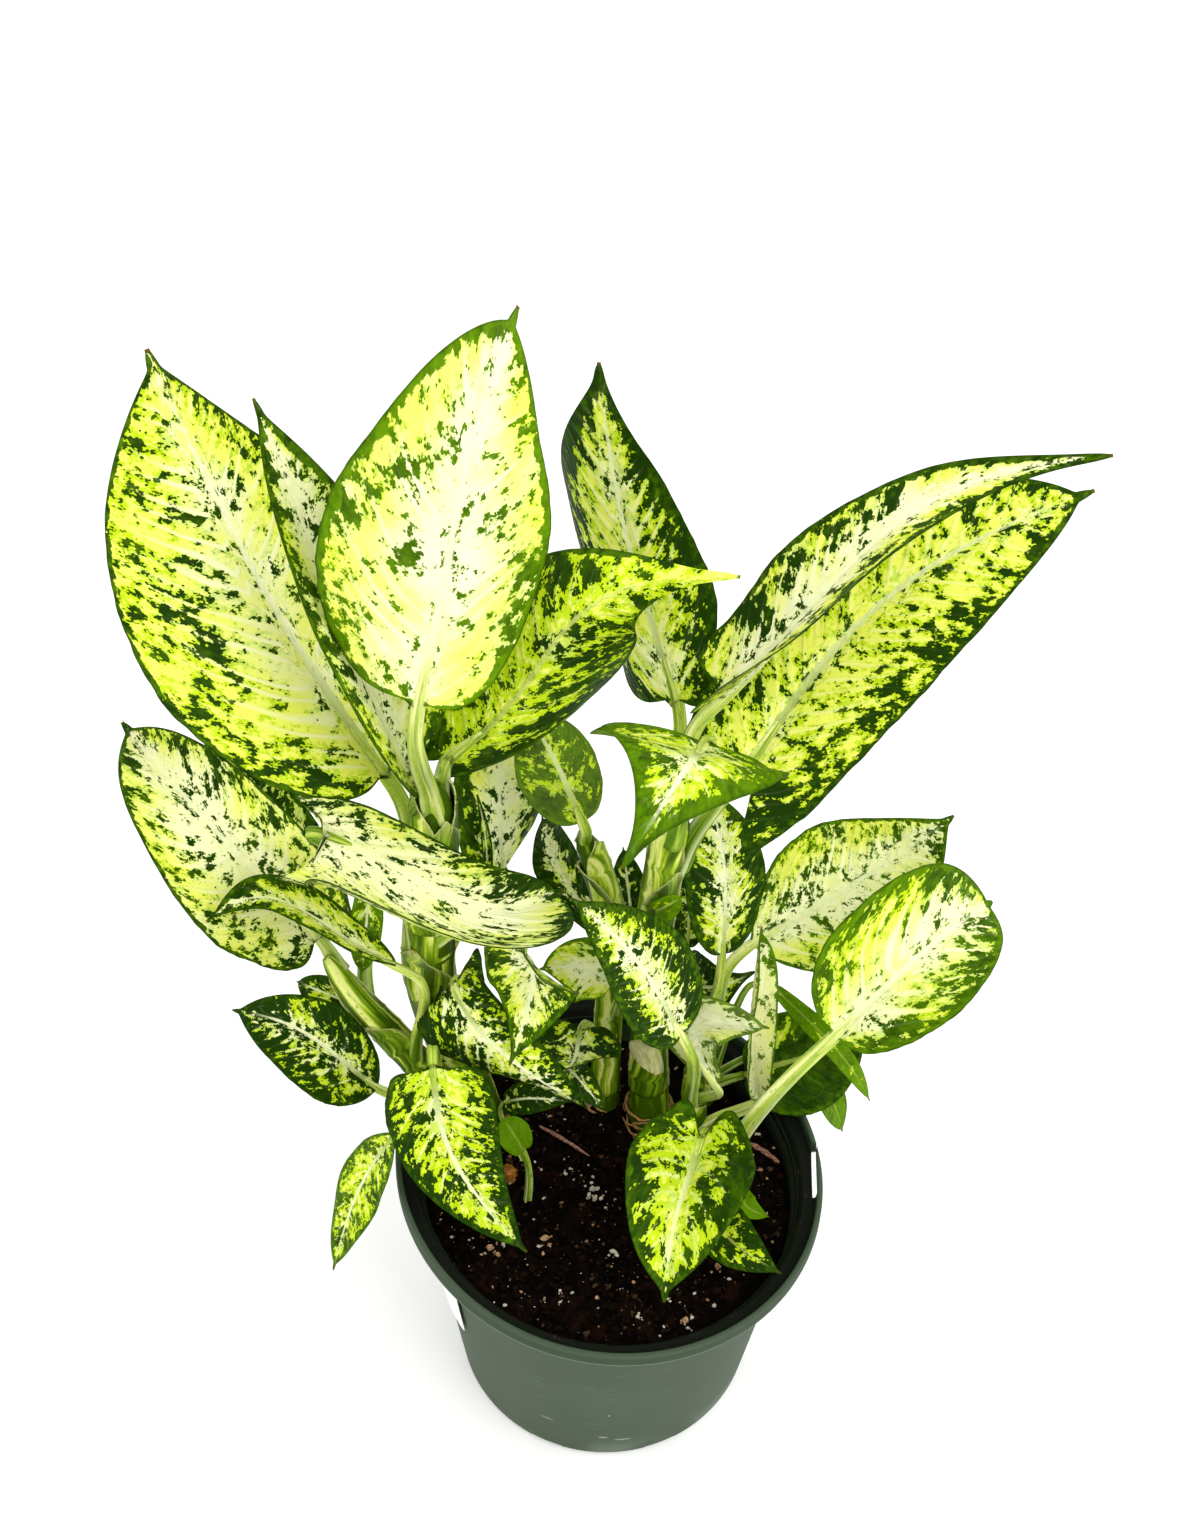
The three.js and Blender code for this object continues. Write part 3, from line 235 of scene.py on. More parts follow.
    ("right_leaning", (31, 21, 113), (26, 8, 177), (-14, 5, 250), (0.7, -0.7, 0.3), (2.6, 2),
     (36, 4, 3, 8, 13, -3, 1.2, 0.01, 0.01, 0.57, 0.93), (-1.7, 1.3, 0.45, 2.8, 0.3, 0.8, 0.6, 0.85, 0.6)),
    ("right_shaded", (36, 44, 110), (33, 68, 136), (57, 62, 152), (-0.3, -0.8, 0.5), (1.8, 1.4),
     (28, 7, 1, 2, 9, -22, 1.19, -0.08, 0.07, 0.55, 1.67), (0.6, 1.4, 0.4, 1.5, 0, 0.7, 0.7, 1, 0.5)),
    ("right_underside", (33, 25, 115), (40, 16, 141), (57, 8, 182), (0.4, 0.9, -0.1), (2, 1.5),
     (27, 0, 20, 4, 11, -17, 0.8, 0.1, 0.06, 0.66, 0.8), (-2.6, -0.6, 0.6, 1.4, 0.8, -0.4, 0.8, 0.5, 0.6)),
    ("rolled_new", (37, 20, 108), (58, 20, 127), (53, 26, 215), (0.3, -0.9, 0.2), (2.2, 2),
     (23, 0, -3, 34, 49, 37, 0.8, 0.03, 0, 0.53, 0.65), (-2.6, -0.9, 0.7, 0.9, 1, -0.4, 0.7, 0.4, 1.2)),
    ("front_blunt", (40, -3, 103), (34, -8, 138), (20, -66, 122), (0, -0.3, 1), (2.4, 1.9),
     (51, 18, 2, 6, 38, -16, 1.5, -0.01, 0.26, 0.8, 1.11), (-1.9, 0.6, 0.6, 2, -0.05, 0.9, 0.9, 0.8, 0.6)),
    ("front_lower", (44, -4, 99), (40, -24, 116), (62, -52, 119), (-0.3, -0.3, 0.9), (1.6, 1.2),
     (20, 7, 4, 0, 11, -12, 0.9, -0.03, 0.08, 0.53, 0.98), (0.2, 1.4, 0.4, 1.6, -0.4, 0.9, 0.75, 0.95, 1)),
    ("front_light", (43, -2, 99), (51, -7, 106), (61, -18, 104), (0.1, -0.5, 0.9), (1.3, 1.1),
     (9, 4, 4, 0, 14, -12, 1, 0, 0.04, 0.58, 0.86), (4, 4, 0.5, 0.5, -0.9, 2, 0.6, 0, 0.5)),
    ("rim_broad", (39, 40, 104), (54, 37, 120), (101, 45, 132), (0, -0.5, 0.9), (2, 1.5),
     (41, 7, 1, -4, 11, -15, 0.8, 0.07, 0.04, 0.61, 0.84), (3.5, 4, 0.5, 2, -0.3, 0.9, 0.8, 0.8, 0.5)),
    ("rim_arching", (41, 38, 114), (63, 42, 164), (101, 22, 123), (0.4, -0.7, 0.6), (1.4, 1.1),
     (9, 10, 0, 0, 12, -15, 1.1, 0, 0.07, 0.62, 0.8), (2.5, 3, 0.5, 1, -0.7, 0.3, 0.7, 0.3, 0.6)),
    ("rim_hanging", (42, 43, 110), (78, 42, 123), (95, 34, 88), (0.6, -0.5, 0.5), (1.5, 1.1),
     (16, 3, 0, 0, 12, -12, 1, 0, 0.05, 0.61, 0.82), (4, 4, 0.5, 1.4, -0.7, 0, 0.8, 0.45, 0.5)),
)

# Single marks that stand out on a leaf: place along, place across from -1 to 1, half-length, half-width, and
# how much darker it is there, or paler below nought.
MARKS = {
    "left_upright": (
        (0.55, -0.75, 0.05, 0.12, 2.6), (0.42, 0.8, 0.1, 0.15, 1.6), (0.25, -0.35, 0.02, 0.07, 3.2),
        (0.99, 0, 0.07, 3, 3.5),
    ),
    "rim_broad": ((0.3, -0.6, 0.15, 0.3, -5.5), (0.12, 0.3, 0.1, 0.4, -4)),
    "left_fan": ((0.42, -0.5, 0.03, 0.12, 2.0), (0.12, -0.7, 0.08, 0.3, 0.8)),
    "front_blunt": ((0.35, -0.7, 0.16, 0.4, 3.5),),
    "left_hooked": ((0.2, 0.8, 0.25, 0.2, 1.4), (0.97, 0, 0.1, 3, -4)),
    "right_upright": ((0.2, -0.5, 0.12, 0.25, -1.5),),
    "right_wide": ((0.05, 0.7, 0.1, 0.4, 1.2),),
    "left_sweeping": ((0.85, -0.8, 0.3, 0.4, 2.4), (0.95, 0.2, 0.08, 0.8, 1.0)),
    "rolled_new": ((0.95, 0, 0.15, 3, 2.5),),
}

# Stalks that aren't as white as their blade's pale parts.
STALK_WHITE = {"left_sweeping": -0.8}

# Every cane and shoot: the points of its axis from under the soil to its top, and its radius at each.
CANES = {
    "cane_left": (
        ((-46, 24, 72), (-50, 26, 104), (-59, 29, 142), (-66, 31, 180), (-65, 30, 215), (-62, 31, 250),
         (-61, 32, 276)),
        (9, 9, 9.2, 9.2, 8.8, 8.2, 6.2),
    ),
    "shoot_left": (
        ((-53, 10, 78), (-60, 12, 110), (-70, 18, 143), (-82, 22, 160), (-93, 24, 177), (-103, 28, 194)),
        (5.2, 5.2, 5.6, 5.4, 4.6, 3.4),
    ),
    "cane_middle": (
        ((0, 36, 70), (-1, 38, 110), (0, 43, 157), (0, 45, 200), (-6, 46, 225), (-11, 46, 241)),
        (5.6, 5.4, 5.2, 5.6, 5, 3.6),
    ),
    "cane_right": (
        ((16, 30, 70), (16, 30, 112), (15, 33, 150), (15, 34, 200), (18, 34, 240), (22, 34, 262)),
        (8, 7.8, 6.6, 6.6, 6.2, 5),
    ),
    "shoot_back": (((36, 42, 76), (36, 41, 100), (37, 41, 118), (38, 42, 132)), (6.5, 6.5, 6, 4.6)),
    "shoot_right": (((33, 22, 80), (33, 22, 100), (33, 23, 114), (33, 24, 122)), (5.2, 5.2, 4.8, 3.6)),
    "shoot_front": (((42, -1, 80), (42, -1, 98), (42, 0, 108), (42, 0, 114)), (5, 5, 4.4, 3.2)),
}

# A cane: the radius from which its rings are fully spaced, how far each ring reaches and how much it swells,
# and how thick a sheath is.
THICK_CANE = 8
RING_WIDTH = 0.8
RING_SWELL = 0.05
SHEATH_THICKNESS = 0.5

# The sheaths that wrap a cane: where each starts and ends as shares of the cane's length, the way it faces
# from the +X side round, how far it wraps, how far its tongue stands off, how dark it is and how papery.
SHEATHS = {
    "cane_left": (
        (0.2, 0.62, 4.2, 2.6, 0.8, -0.1, 0), (0.42, 0.8, 2, 2.4, 1.2, 0.25, 0),
        (0.5, 0.93, 5.3, 2, 1.6, 0, 0), (0.66, 0.99, 3.6, 1.9, 2.2, -0.25, 0),
        (0.72, 1, 0.4, 1.5, 3, 0.3, 0),
    ),
    "shoot_left": ((0.3, 0.7, 4.4, 2.3, 0.8, -0.15, 0), (0.5, 0.95, 2.2, 1.9, 1.5, -0.3, 0)),
    "cane_middle": (
        (0.2, 0.6, 4.6, 2.4, 0.7, 0, 0), (0.45, 0.85, 3.4, 2.2, 1, 0.3, 0),
        (0.62, 0.97, 5.6, 1.7, 2, -0.2, 0),
    ),
    "cane_right": (
        (0.31, 0.42, 4.4, 1.1, 2.6, -0.5, 0.7), (0.25, 0.62, 3.7, 2.5, 0.8, 0.0, 0),
        (0.42, 0.8, 5.4, 2.4, 1.0, 0.25, 0), (0.56, 0.98, 4.3, 1.9, 2.0, -0.2, 0),
    ),
    "shoot_back": ((0.35, 0.85, 4.4, 2.2, 0.9, 0.1, 0),),
    "shoot_right": ((0.4, 0.95, 4.9, 2.1, 1.2, -0.1, 0),),
    "shoot_front": ((0.4, 0.95, 4.2, 2.1, 1.2, 0.2, 0),),
}

# Spots and scuffs on the pot's front: place across and up, half-width and half-height, and how strongly each
# shows.
WALL_MARKS = (
    ((16.7, 90.2), (0.5, 0.5), 0.8), ((1.9, 42.1), (0.5, 0.5), 0.8), ((-0.2, 19.3), (2.0, 1.0), 0.35),
    ((7.6, 16.7), (4.0, 0.9), 0.4), ((-22.0, 28.0), (3.0, 1.2), 0.2),
)

# How dark a cane or shoot is above its foot, where it differs from the others.
CANE_TONE = 0.1
CANE_TONES = {"shoot_left": -0.45}

# Dry strands round a cane's foot: how many, and how high they reach.
FIBRES = {"cane_right": (26, 13), "cane_middle": (9, 6), "cane_left": (6, 5)}

# What lies on the soil: the points of its axis, its radius at each, its two colours and how fine their
# mottling is, and its slot.
LITTER = {
    "twig_pale": (
        ((-27, 26, 99.3), (-17, 19, 100), (-7, 12, 99.3)), (0.675, 0.75, 0.45),
        ("7d5040", "b48a74", 600), "twig"),
    "twig_red": (
        ((56, 19, 99.4), (61, 15, 100), (67, 10, 99.4)), (0.9, 1.05, 0.825),
        ("7a4a3a", "c0907a", 600), "twig"),
    "pebble": (
        ((-39, 7, 99), (-38, 3, 99.6), (-37, -1, 99)), (1.6, 3.2, 1.8),
        ("7a4a20", "c98a3c", 300), "pebble"),
}


def linear(colour):
    """A colour's linear red, green and blue. The colour may be written as six hexadecimal digits."""
    if not isinstance(colour, str):
        return tuple(colour[:3])
    shares = (int(colour[i:i + 2], 16) / 255 for i in (0, 2, 4))
    return tuple(s / 12.92 if s <= 0.04045 else ((s + 0.055) / 1.055) ** 2.4 for s in shares)


def colour_property(name, description, code):
    return bpy.props.FloatVectorProperty(
        name=name, description=description, default=linear(code), subtype="COLOR", size=3, min=0, max=1)


def length_property(name, description, default):
    return bpy.props.FloatProperty(
        name=name, description=description, default=default * MM, min=0, unit="LENGTH", subtype="DISTANCE")


class LeafSettings(bpy.types.PropertyGroup):
    cream: colour_property("Cream", "Pale ground of the blades", "f2f768")
    white: colour_property("White", "Palest parts, along the midrib", "fdfdd2")
    lime: colour_property("Lime", "Yellow-green patches and halos", "c4e01a")
    fresh: colour_property("Fresh green", "Green of the lighter leaves and margins", "648f05")
    deep: colour_property("Deep green", "Green of the darkest specks and margins", "1d3a04")
    stalk: colour_property("Stalk", "Green of the stalks", "9dba3a")
    thickness: length_property("Blade thickness", "Thickness of a blade between its veins", 0.5)
    vein_pitch: length_property("Vein spacing", "Distance between two side veins of a large leaf", 9)
    pucker: length_property("Pucker", "How far a blade swells between its side veins", 0.35)


class CaneSettings(bpy.types.PropertyGroup):
    green: colour_property("Cane", "Green of the canes", "83a416")
    sheath: colour_property("Sheath", "Pale edges of the leaf sheaths", "dde79a")
    husk: colour_property("Husk", "Dry fibres at the foot of a cane", "8a6440")
    node_pitch: length_property("Node spacing", "Distance between two rings on a cane", 17)


class PotSettings(bpy.types.PropertyGroup):
    green: colour_property("Plastic", "Dark green of the moulded plastic", "414f3d")
    # Also the colour of the painted highlight along the lip's lower edge.
    edge: colour_property("Rubbed edge", "Paler plastic where edges are rubbed", "8fa08e")
    sides: bpy.props.IntProperty(
        name="Sides", description="Facets around the pot", default=192, min=24, max=512)


class SoilSettings(bpy.types.PropertyGroup):
    peat: colour_property("Peat", "Nearly black potting mix", "060403")
    bark: colour_property("Bark", "Reddish bark in the mix", "24120b")
    grit: colour_property("Grit", "White grains in the mix", "efe6d6")
    lumps: length_property("Lumps", "Height of the soil's lumps", 2.2)
    crumbs: bpy.props.IntProperty(name="Crumbs", description="Pieces of bark and peat", default=1500, min=0)
    grains: bpy.props.IntProperty(name="Grit grains", description="White grains", default=560, min=0)


class StageSettings(bpy.types.PropertyGroup):
    floor: colour_property("Floor", "Plain pale floor", "f4f4f2")
    sky: bpy.props.FloatProperty(
        name="Sky", description="Strength of the even light around", default=0.95, min=0)
    key: bpy.props.FloatProperty(
        name="Key light", description="Power of the large soft light", default=11, min=0, unit="POWER")
    fill: bpy.props.FloatProperty(
        name="Fill light", description="Power of the other soft light", default=2, min=0, unit="POWER")


class Sock:
    """An output of a node. Arithmetic on it adds Math nodes, so that shader maths reads as Python."""

    def __init__(self, finish, socket):
        self.finish = finish
        self.socket = socket

    def math(self, operation, *values):
        return self.finish.node("ShaderNodeMath", {"operation": operation}, dict(enumerate(values)))

    def __add__(self, other):
        return self.math("ADD", self, other)

    __radd__ = __add__

    def __sub__(self, other):
        return self.math("SUBTRACT", self, other)

    def __rsub__(self, other):
        return self.math("SUBTRACT", other, self)

    def __mul__(self, other):
        return self.math("MULTIPLY", self, other)

    __rmul__ = __mul__

    def __truediv__(self, other):
        return self.math("DIVIDE", self, other)

    def __rtruediv__(self, other):
        return self.math("DIVIDE", other, self)

    def __pow__(self, other):
        return self.math("POWER", self, other)

    def __neg__(self):
        return self.math("MULTIPLY", self, -1)

    def __abs__(self):
        return self.math("ABSOLUTE", self)


class Finish:
    """A material, and the shorthand that its nodes are written with."""

    def __init__(self, name):
        self.material = bpy.data.materials.new(name)
        self.material.use_nodes = True
        self.tree = self.material.node_tree
        self.shader = self.tree.nodes["Principled BSDF"]

    def node(self, kind, settings=None, inputs=None, output=0):
        """Adds a node: its settings first, then the values and links of its sockets."""
        made = self.tree.nodes.new(kind)
        for name, value in (settings or {}).items():
            if name == "stops":
                self.set_stops(made.color_ramp, value)
            else:
                setattr(made, name, value)
        for name, value in (inputs or {}).items():
            self.feed(made.inputs[name], value)
        return Sock(self, made.outputs[output])

    def set_stops(self, ramp, stops):
        while len(ramp.elements) < len(stops):
            ramp.elements.new(1)
        for element, (place, colour) in zip(ramp.elements, stops):
            element.position = place
            element.color = (*linear(colour), 1)

    def feed(self, socket, value):
        if isinstance(value, Sock):
            self.tree.links.new(value.socket, socket)
        else:
            socket.default_value = (*linear(value), 1) if socket.type == "RGBA" else value

    def set(self, **values):
        """Sets the shader's own sockets, named with underscores for spaces."""
        for name, value in values.items():
            self.feed(self.shader.inputs[name.replace("_", " ")], value)
        return self.material

    def attribute(self, name):
        return self.node("ShaderNodeAttribute", {"attribute_name": name}, output="Vector")

    def place(self):
        """The place on the object, in metres."""
        return self.node("ShaderNodeTexCoord", output="Object")

    def parts(self, vector):
        node = self.node("ShaderNodeSeparateXYZ", {}, {0: vector})
        return [Sock(self, out) for out in node.socket.node.outputs]

    def scaled(self, vector, factors):
        return self.node("ShaderNodeVectorMath", {"operation": "MULTIPLY"}, {0: vector, 1: factors})

    def moved(self, vector, offset):
        return self.node("ShaderNodeVectorMath", {"operation": "ADD"}, {0: vector, 1: offset})

    def noise(self, vector, scale, detail, roughness):
        inputs = {"Vector": vector, "Scale": scale, "Detail": detail, "Roughness": roughness}
        return self.node("ShaderNodeTexNoise", {}, inputs)

    def cells(self, vector, scale, output="Position"):
        return self.node("ShaderNodeTexVoronoi", {}, {"Vector": vector, "Scale": scale}, output)

    def step(self, value, low, high):
        """0 below low, 1 above high and smooth between them."""
        inputs = {"Value": value, "From Min": low, "From Max": high}
        return self.node("ShaderNodeMapRange", {"interpolation_type": "SMOOTHSTEP"}, inputs)

    def blend(self, factor, a, b):
        """From colour a to colour b."""
        return self.node("ShaderNodeMix", {"data_type": "RGBA"}, {0: factor, 6: a, 7: b}, 2)

    def between(self, factor, a, b):
        """From vector a to vector b."""
        return self.node("ShaderNodeMix", {"data_type": "VECTOR"}, {0: factor, 4: a, 5: b}, 1)

    def bump(self, height, distance, strength, normal=None):
        inputs = {"Height": height, "Distance": distance, "Strength": strength}
        if normal is not None:
            inputs["Normal"] = normal
        return self.node("ShaderNodeBump", {}, inputs)


class Shape:
    """The points, faces, finishes and surface coordinates of one piece while it is made, in millimetres."""

    def __init__(self):
        self.points = []
        self.faces = []
        self.finishes = []
        self.layers = {}
        self.count = 0

    def add(self, points, faces, finish=0, **layers):
        """points is an array of places, faces rows of their indices, and layers one triple for each point."""
        points = np.asarray(points, float).reshape(-1, 3)
        self.points.append(points)
        for row in faces:
            self.faces.append([i + self.count for i in row])
            self.finishes.append(finish)
        for name, values in layers.items():
            self.layers.setdefault(name, []).append((self.count, np.asarray(values, float).reshape(-1, 3)))
        self.count += len(points)

    def build(self, name, materials, sharp=None):
        mesh = bpy.data.meshes.new(name)
        points = np.concatenate(self.points) * MM
        mesh.from_pydata(points.tolist(), [], self.faces)
        for layer, blocks in self.layers.items():
            values = np.zeros((self.count, 3))
            for start, block in blocks:
                values[start:start + len(block)] = block
            made = mesh.attributes.new(layer, "FLOAT_VECTOR", "POINT")
            made.data.foreach_set("vector", values.ravel())
        for material in materials:
            mesh.materials.append(material)
        mesh.polygons.foreach_set("material_index", self.finishes)
        mesh.update()
        mesh.shade_smooth()
        if sharp is not None:
            mesh.set_sharp_from_angle(angle=math.radians(sharp))
        made = bpy.data.objects.new(name, mesh)
        bpy.context.scene.collection.objects.link(made)
        return made


def grid_faces(rows, columns, closed=False, flip=False):
    """Quads of a grid of rows by columns points. closed joins the last column to the first."""
    faces = []
    for i in range(rows - 1):
        for j in range(columns if closed else columns - 1):
            a, b = i * columns + j, i * columns + (j + 1) % columns
            quad = [a, b, b + columns, a + columns]
            faces.append(quad[::-1] if flip else quad)
    return faces


def capped_faces(rows, columns):
    """The faces of a row of rings that are closed round, with a flat face over each end."""
    last = (rows - 1) * columns
    caps = [list(range(columns))[::-1], list(range(last, last + columns))]
    return grid_faces(rows, columns, closed=True) + caps


def unit(a):
    return a / np.maximum(np.linalg.norm(a, axis=-1, keepdims=True), 1e-12)


def ramp(value, low, high):
    """0 at low, 1 at high and straight between them."""
    return np.clip((value - low) / (high - low), 0, 1)


def bell(value, width):
    """1 at nought, and falling away on both sides within a width or two."""
    return np.exp(-(value / width) ** 2)


def triples(*parts):
    """Three grids, or rows and values that spread over one, as a triple for each point."""
    return np.stack(np.broadcast_arrays(*parts), -1)


def lengths(points):
    """How far along a curve each of its points lies."""
    return np.concatenate([[0], np.cumsum(np.linalg.norm(np.diff(points, axis=0), axis=1))])


def smooth_curve(points, steps):
    """Points along a centripetal Catmull-Rom curve through the given ones, and the directions along it."""
    p = np.asarray(points, float)
    p = np.vstack([2 * p[0] - p[1], p, 2 * p[-1] - p[-2]])
    places = np.linspace(0, len(points) - 1, steps + 1)
    found, ahead = [], []
    for place in places:
        k = min(int(place), len(points) - 2)
        w = place - k
        a, b, c, d = p[k:k + 4]
        gaps = [max(np.linalg.norm(y - x), 1e-8) ** 0.5 for x, y in ((a, b), (b, c), (c, d))]
        m = ((b - a) / gaps[0] - (c - a) / (gaps[0] + gaps[1]) + (c - b) / gaps[1]) * gaps[1]
        n = ((c - b) / gaps[1] - (d - b) / (gaps[1] + gaps[2]) + (d - c) / gaps[2]) * gaps[1]
        square, cube = 3 * (c - b) - 2 * m - n, 2 * (b - c) + m + n
        found.append(b + m * w + square * w ** 2 + cube * w ** 3)
        ahead.append(m + 2 * square * w + 3 * cube * w ** 2)
    return np.array(found), unit(np.array(ahead))


def carried_sides(ahead, first):
    """A direction across the curve at each of its points, which turns as little as it can."""
    sides = []
    side = np.asarray(first, float)
    for along in ahead:
        side = unit(side - side.dot(along) * along)
        sides.append(side)
    return np.array(sides)


def tube(points, ahead, sides, radii, around, section=None):
    """The rings of a tube as an array, and the angles round it.

    section takes the angles and the shares along, as a grid, and gives the radius as a share."""
    across = np.cross(ahead, sides)
    angle = np.linspace(0, 2 * math.pi, around, endpoint=False)
    grid = np.broadcast_to(radii[:, None], (len(points), around))
    if section is not None:
        grid = grid * section(angle[None, :], np.linspace(0, 1, len(points))[:, None])
    rings = (
        points[:, None]
        + sides[:, None] * (grid * np.cos(angle))[..., None]
        + across[:, None] * (grid * np.sin(angle))[..., None]
    )
    return rings, angle


def add_tube(shape, rings, finish=0, **layers):
    """Adds a tube with closed ends."""
    shape.add(rings, capped_faces(*rings.shape[:2]), finish, **layers)


def add_shell(shape, sides, finishes, **layers):
    """Adds a thin closed sheet between two grids of points, with its edge in the first one's finish."""
    rows, across = sides[0].shape[:2]
    start, below = shape.count, shape.count + rows * across
    for points, finish, flip in zip(sides, finishes, (False, True)):
        shape.add(points, grid_faces(rows, across, flip=flip), finish, **layers)
    ring = [i * across for i in range(rows)] + [(rows - 1) * across + j for j in range(1, across)]
    ring += [i * across + across - 1 for i in range(rows - 2, -1, -1)] + list(range(across - 2, 0, -1))
    for a, b in zip(ring, ring[1:] + ring[:1]):
        shape.faces.append([start + a, start + b, below + b, below + a])
        shape.finishes.append(finishes[0])


class Leaf:
    """One leaf: its measured form, and the surface points that follow from it."""

    def __init__(self, row):
        self.name, root, base, tip, faces, self.stalk, form, self.markings = row
        (self.width, self.bow, self.sway, self.twist, self.fold, self.curl, self.skew, self.uneven, self.lobe,
         self.full, self.taper) = form
        self.root, self.base, faces = (np.array(a, float) for a in (root, base, faces))
        self.chord = np.array(tip, float) - self.base
        self.length = float(np.linalg.norm(self.chord))
        ahead = self.chord / self.length
        self.up = unit(faces - faces.dot(ahead) * ahead)
        self.right = np.cross(ahead, self.up)
        self.half = self.width / 2
        self.size = min(self.width / FULL_WIDTH, 1)

    def midrib(self, u):
        """Points of the bent midrib, at shares u along it."""
        bend = np.sin(math.pi * np.clip(u, 1e-6, 1) ** self.skew)[..., None]
        return self.base + u[..., None] * self.chord + bend * (self.bow * self.up + self.sway * self.right)

    def directions(self, u):
        """Along the midrib, up from it and across it."""
        step = 1e-3
        along = unit(self.midrib(np.clip(u + step, 0, 1)) - self.midrib(np.clip(u - step, 0, 1)))
        normal = unit(self.up - np.sum(along * self.up, axis=-1, keepdims=True) * along)
        across = np.cross(along, normal)
        turn = (np.radians(self.twist) * (u - 0.5))[..., None]
        cos, sin = np.cos(turn), np.sin(turn)
        return along, normal * cos + across * sin, across * cos - normal * sin

    def outline(self, t):
        """The half-width at t along the blade, as a share of the widest."""
        full, taper = self.full, self.taper
        s = np.minimum(t / BODY_END, 1)
        peak = (full / (full + taper)) ** full * (taper / (full + taper)) ** taper
        body = s ** full * (1 - s) ** taper / peak
        cusp = CUSP * np.clip(1 - t, 0, 1) ** 0.6 * ramp(t, CUSP_START, 1)
        return np.maximum((body ** 2 + cusp ** 2) ** 0.5, 0.02)

    def surface(self, t, v):
        """Points of the upper side, their place along the midrib and their distance from it in millimetres."""
        side, far = np.sign(v), np.abs(v)
        back = self.lobe * (t / LOBE_AT) * np.exp(1 - t / LOBE_AT)
        place = t + (0.1 * t * (1 - t) - back) * far ** 1.4
        u = np.clip(place, 0, 1)
        along, normal, across = self.directions(u)
        share = self.outline(t)
        w = self.half * (1 + self.uneven * side) * share * far
        rise = np.radians(self.fold + self.curl * w / self.half / 2)
        phase = np.where(side < 0, 0.37, 0)
        wave = np.sin(2 * math.pi * (WAVES * place + phase))
        ripple = RIPPLE * self.width * share * far ** 2.5 * wave
        points = (
            self.midrib(u)
            + along * ((place - u) * self.length)[..., None]
            + across * (side * w * np.cos(rise))[..., None]
            + normal * (w * np.sin(rise) + ripple)[..., None]
        )
        return points, place, w


def stations(count):
    k = np.linspace(0, 1, count)
    return 0.65 * (0.5 - 0.5 * np.cos(math.pi * k)) + 0.35 * k


def columns(count):
    """Places across a blade from -1 to 1, closer together at the midrib and at the margins."""
    k = np.linspace(-1, 1, count)
    far = np.abs(k)
    return np.sign(k) * (0.55 * far + 0.45 * (0.5 - 0.5 * np.cos(math.pi * far)))


def normals_of(points):
    ahead = np.gradient(points, axis=0)
    aside = np.gradient(points, axis=1)
    return unit(np.cross(aside, ahead))


def painted(leaf, t, v, place, w, seed):
    """A blade's side veins, and its marking layers: how dark, lime and white each point is, and its margin."""
    inner, outer, start, margin, white, lime, size, tone, lean = leaf.markings
    far = np.abs(v)
    edge = ramp(far, start - 0.3, start + 0.3)
    edge = edge * edge * (3 - 2 * edge)
    dark = inner + (outer - inner) * edge + 1.2 * ramp(t, 0.8, 1)
    reach = leaf.half * leaf.outline(t) * (1 - far)
    for along, aside, half_t, half_v, much in MARKS.get(leaf.name, ()):
        near = bell(t - along, half_t) * bell(v - aside, half_v)
        dark = dark + much * near
        reach = reach + max(-much, 0) * near * margin
    side_veins = place * leaf.length - lean * w - VEIN_BEND * w * w / leaf.half
    slope = lean + VEIN_BEND
    steep = math.sqrt(1 + slope * slope)
    along = (slope * place * leaf.length + w) / steep
    apart = np.sign(v) * ramp(w, 0, 5) * 2.5
    return side_veins, {
        "leaf_flow": triples(
            side_veins / (SPECK_WIDTH * size * steep), along / (SPECK_LENGTH * size), seed * 7.3 + apart),
        "leaf_zone": triples(reach / margin, far, t),
        "leaf_paint": triples(dark, lime, white),
        "leaf_tint": triples(tone, w, 1.6 * (1 - t) * leaf.size + 0.35),
    }


def add_blade(shape, leaf, seed, settings, draw):
    """The blade: an upper side and an underside, with the side veins and the midrib in relief."""
    rows, across = LONG_BLADE_GRID if leaf.length > LONG_BLADE else BLADE_GRID
    t, v = np.meshgrid(stations(rows), columns(across), indexing="ij")
    uneven = sum(
        np.sin(2 * math.pi * (k * t + draw.uniform(0, 1) + np.where(v < 0, draw.uniform(0, 1), 0))) * share
        for k, share in ((5, 0.007), (11, 0.006), (23, 0.004))
    )
    points, place, w = leaf.surface(t, v * (1 + uneven * np.abs(v) ** 6 * (1 - t)))
    side_veins, layers = painted(leaf, t, v, place, w, seed)
    normal = normals_of(points)
    share = leaf.outline(t)
    far = np.abs(v)
    size = leaf.size
    pitch = settings.vein_pitch / MM * (0.45 + 0.55 * size)
    swell = np.cos(2 * math.pi * side_veins / pitch) * bell(far - 0.45, 0.35) * share
    slow = np.sin(2 * math.pi * (place * draw.uniform(1.2, 2) + draw.uniform(0, 1))) * far ** 2 * share
    groove = bell(w, 1.2 + 1.6 * size) * (1 - t)
    lift = settings.pucker / MM * size * swell + 0.012 * leaf.width * slow * np.sign(v) - 0.9 * size * groove
    upper = points + normal * lift[..., None]
    rib = RIB * size * (1 - t) * bell(w, 1.4 + 1.2 * size)
    thick = settings.thickness / MM * (1 - 0.5 * far ** 6)
    add_shell(shape, (upper, upper - normal * (thick + rib)[..., None]), (0, 1), **layers)


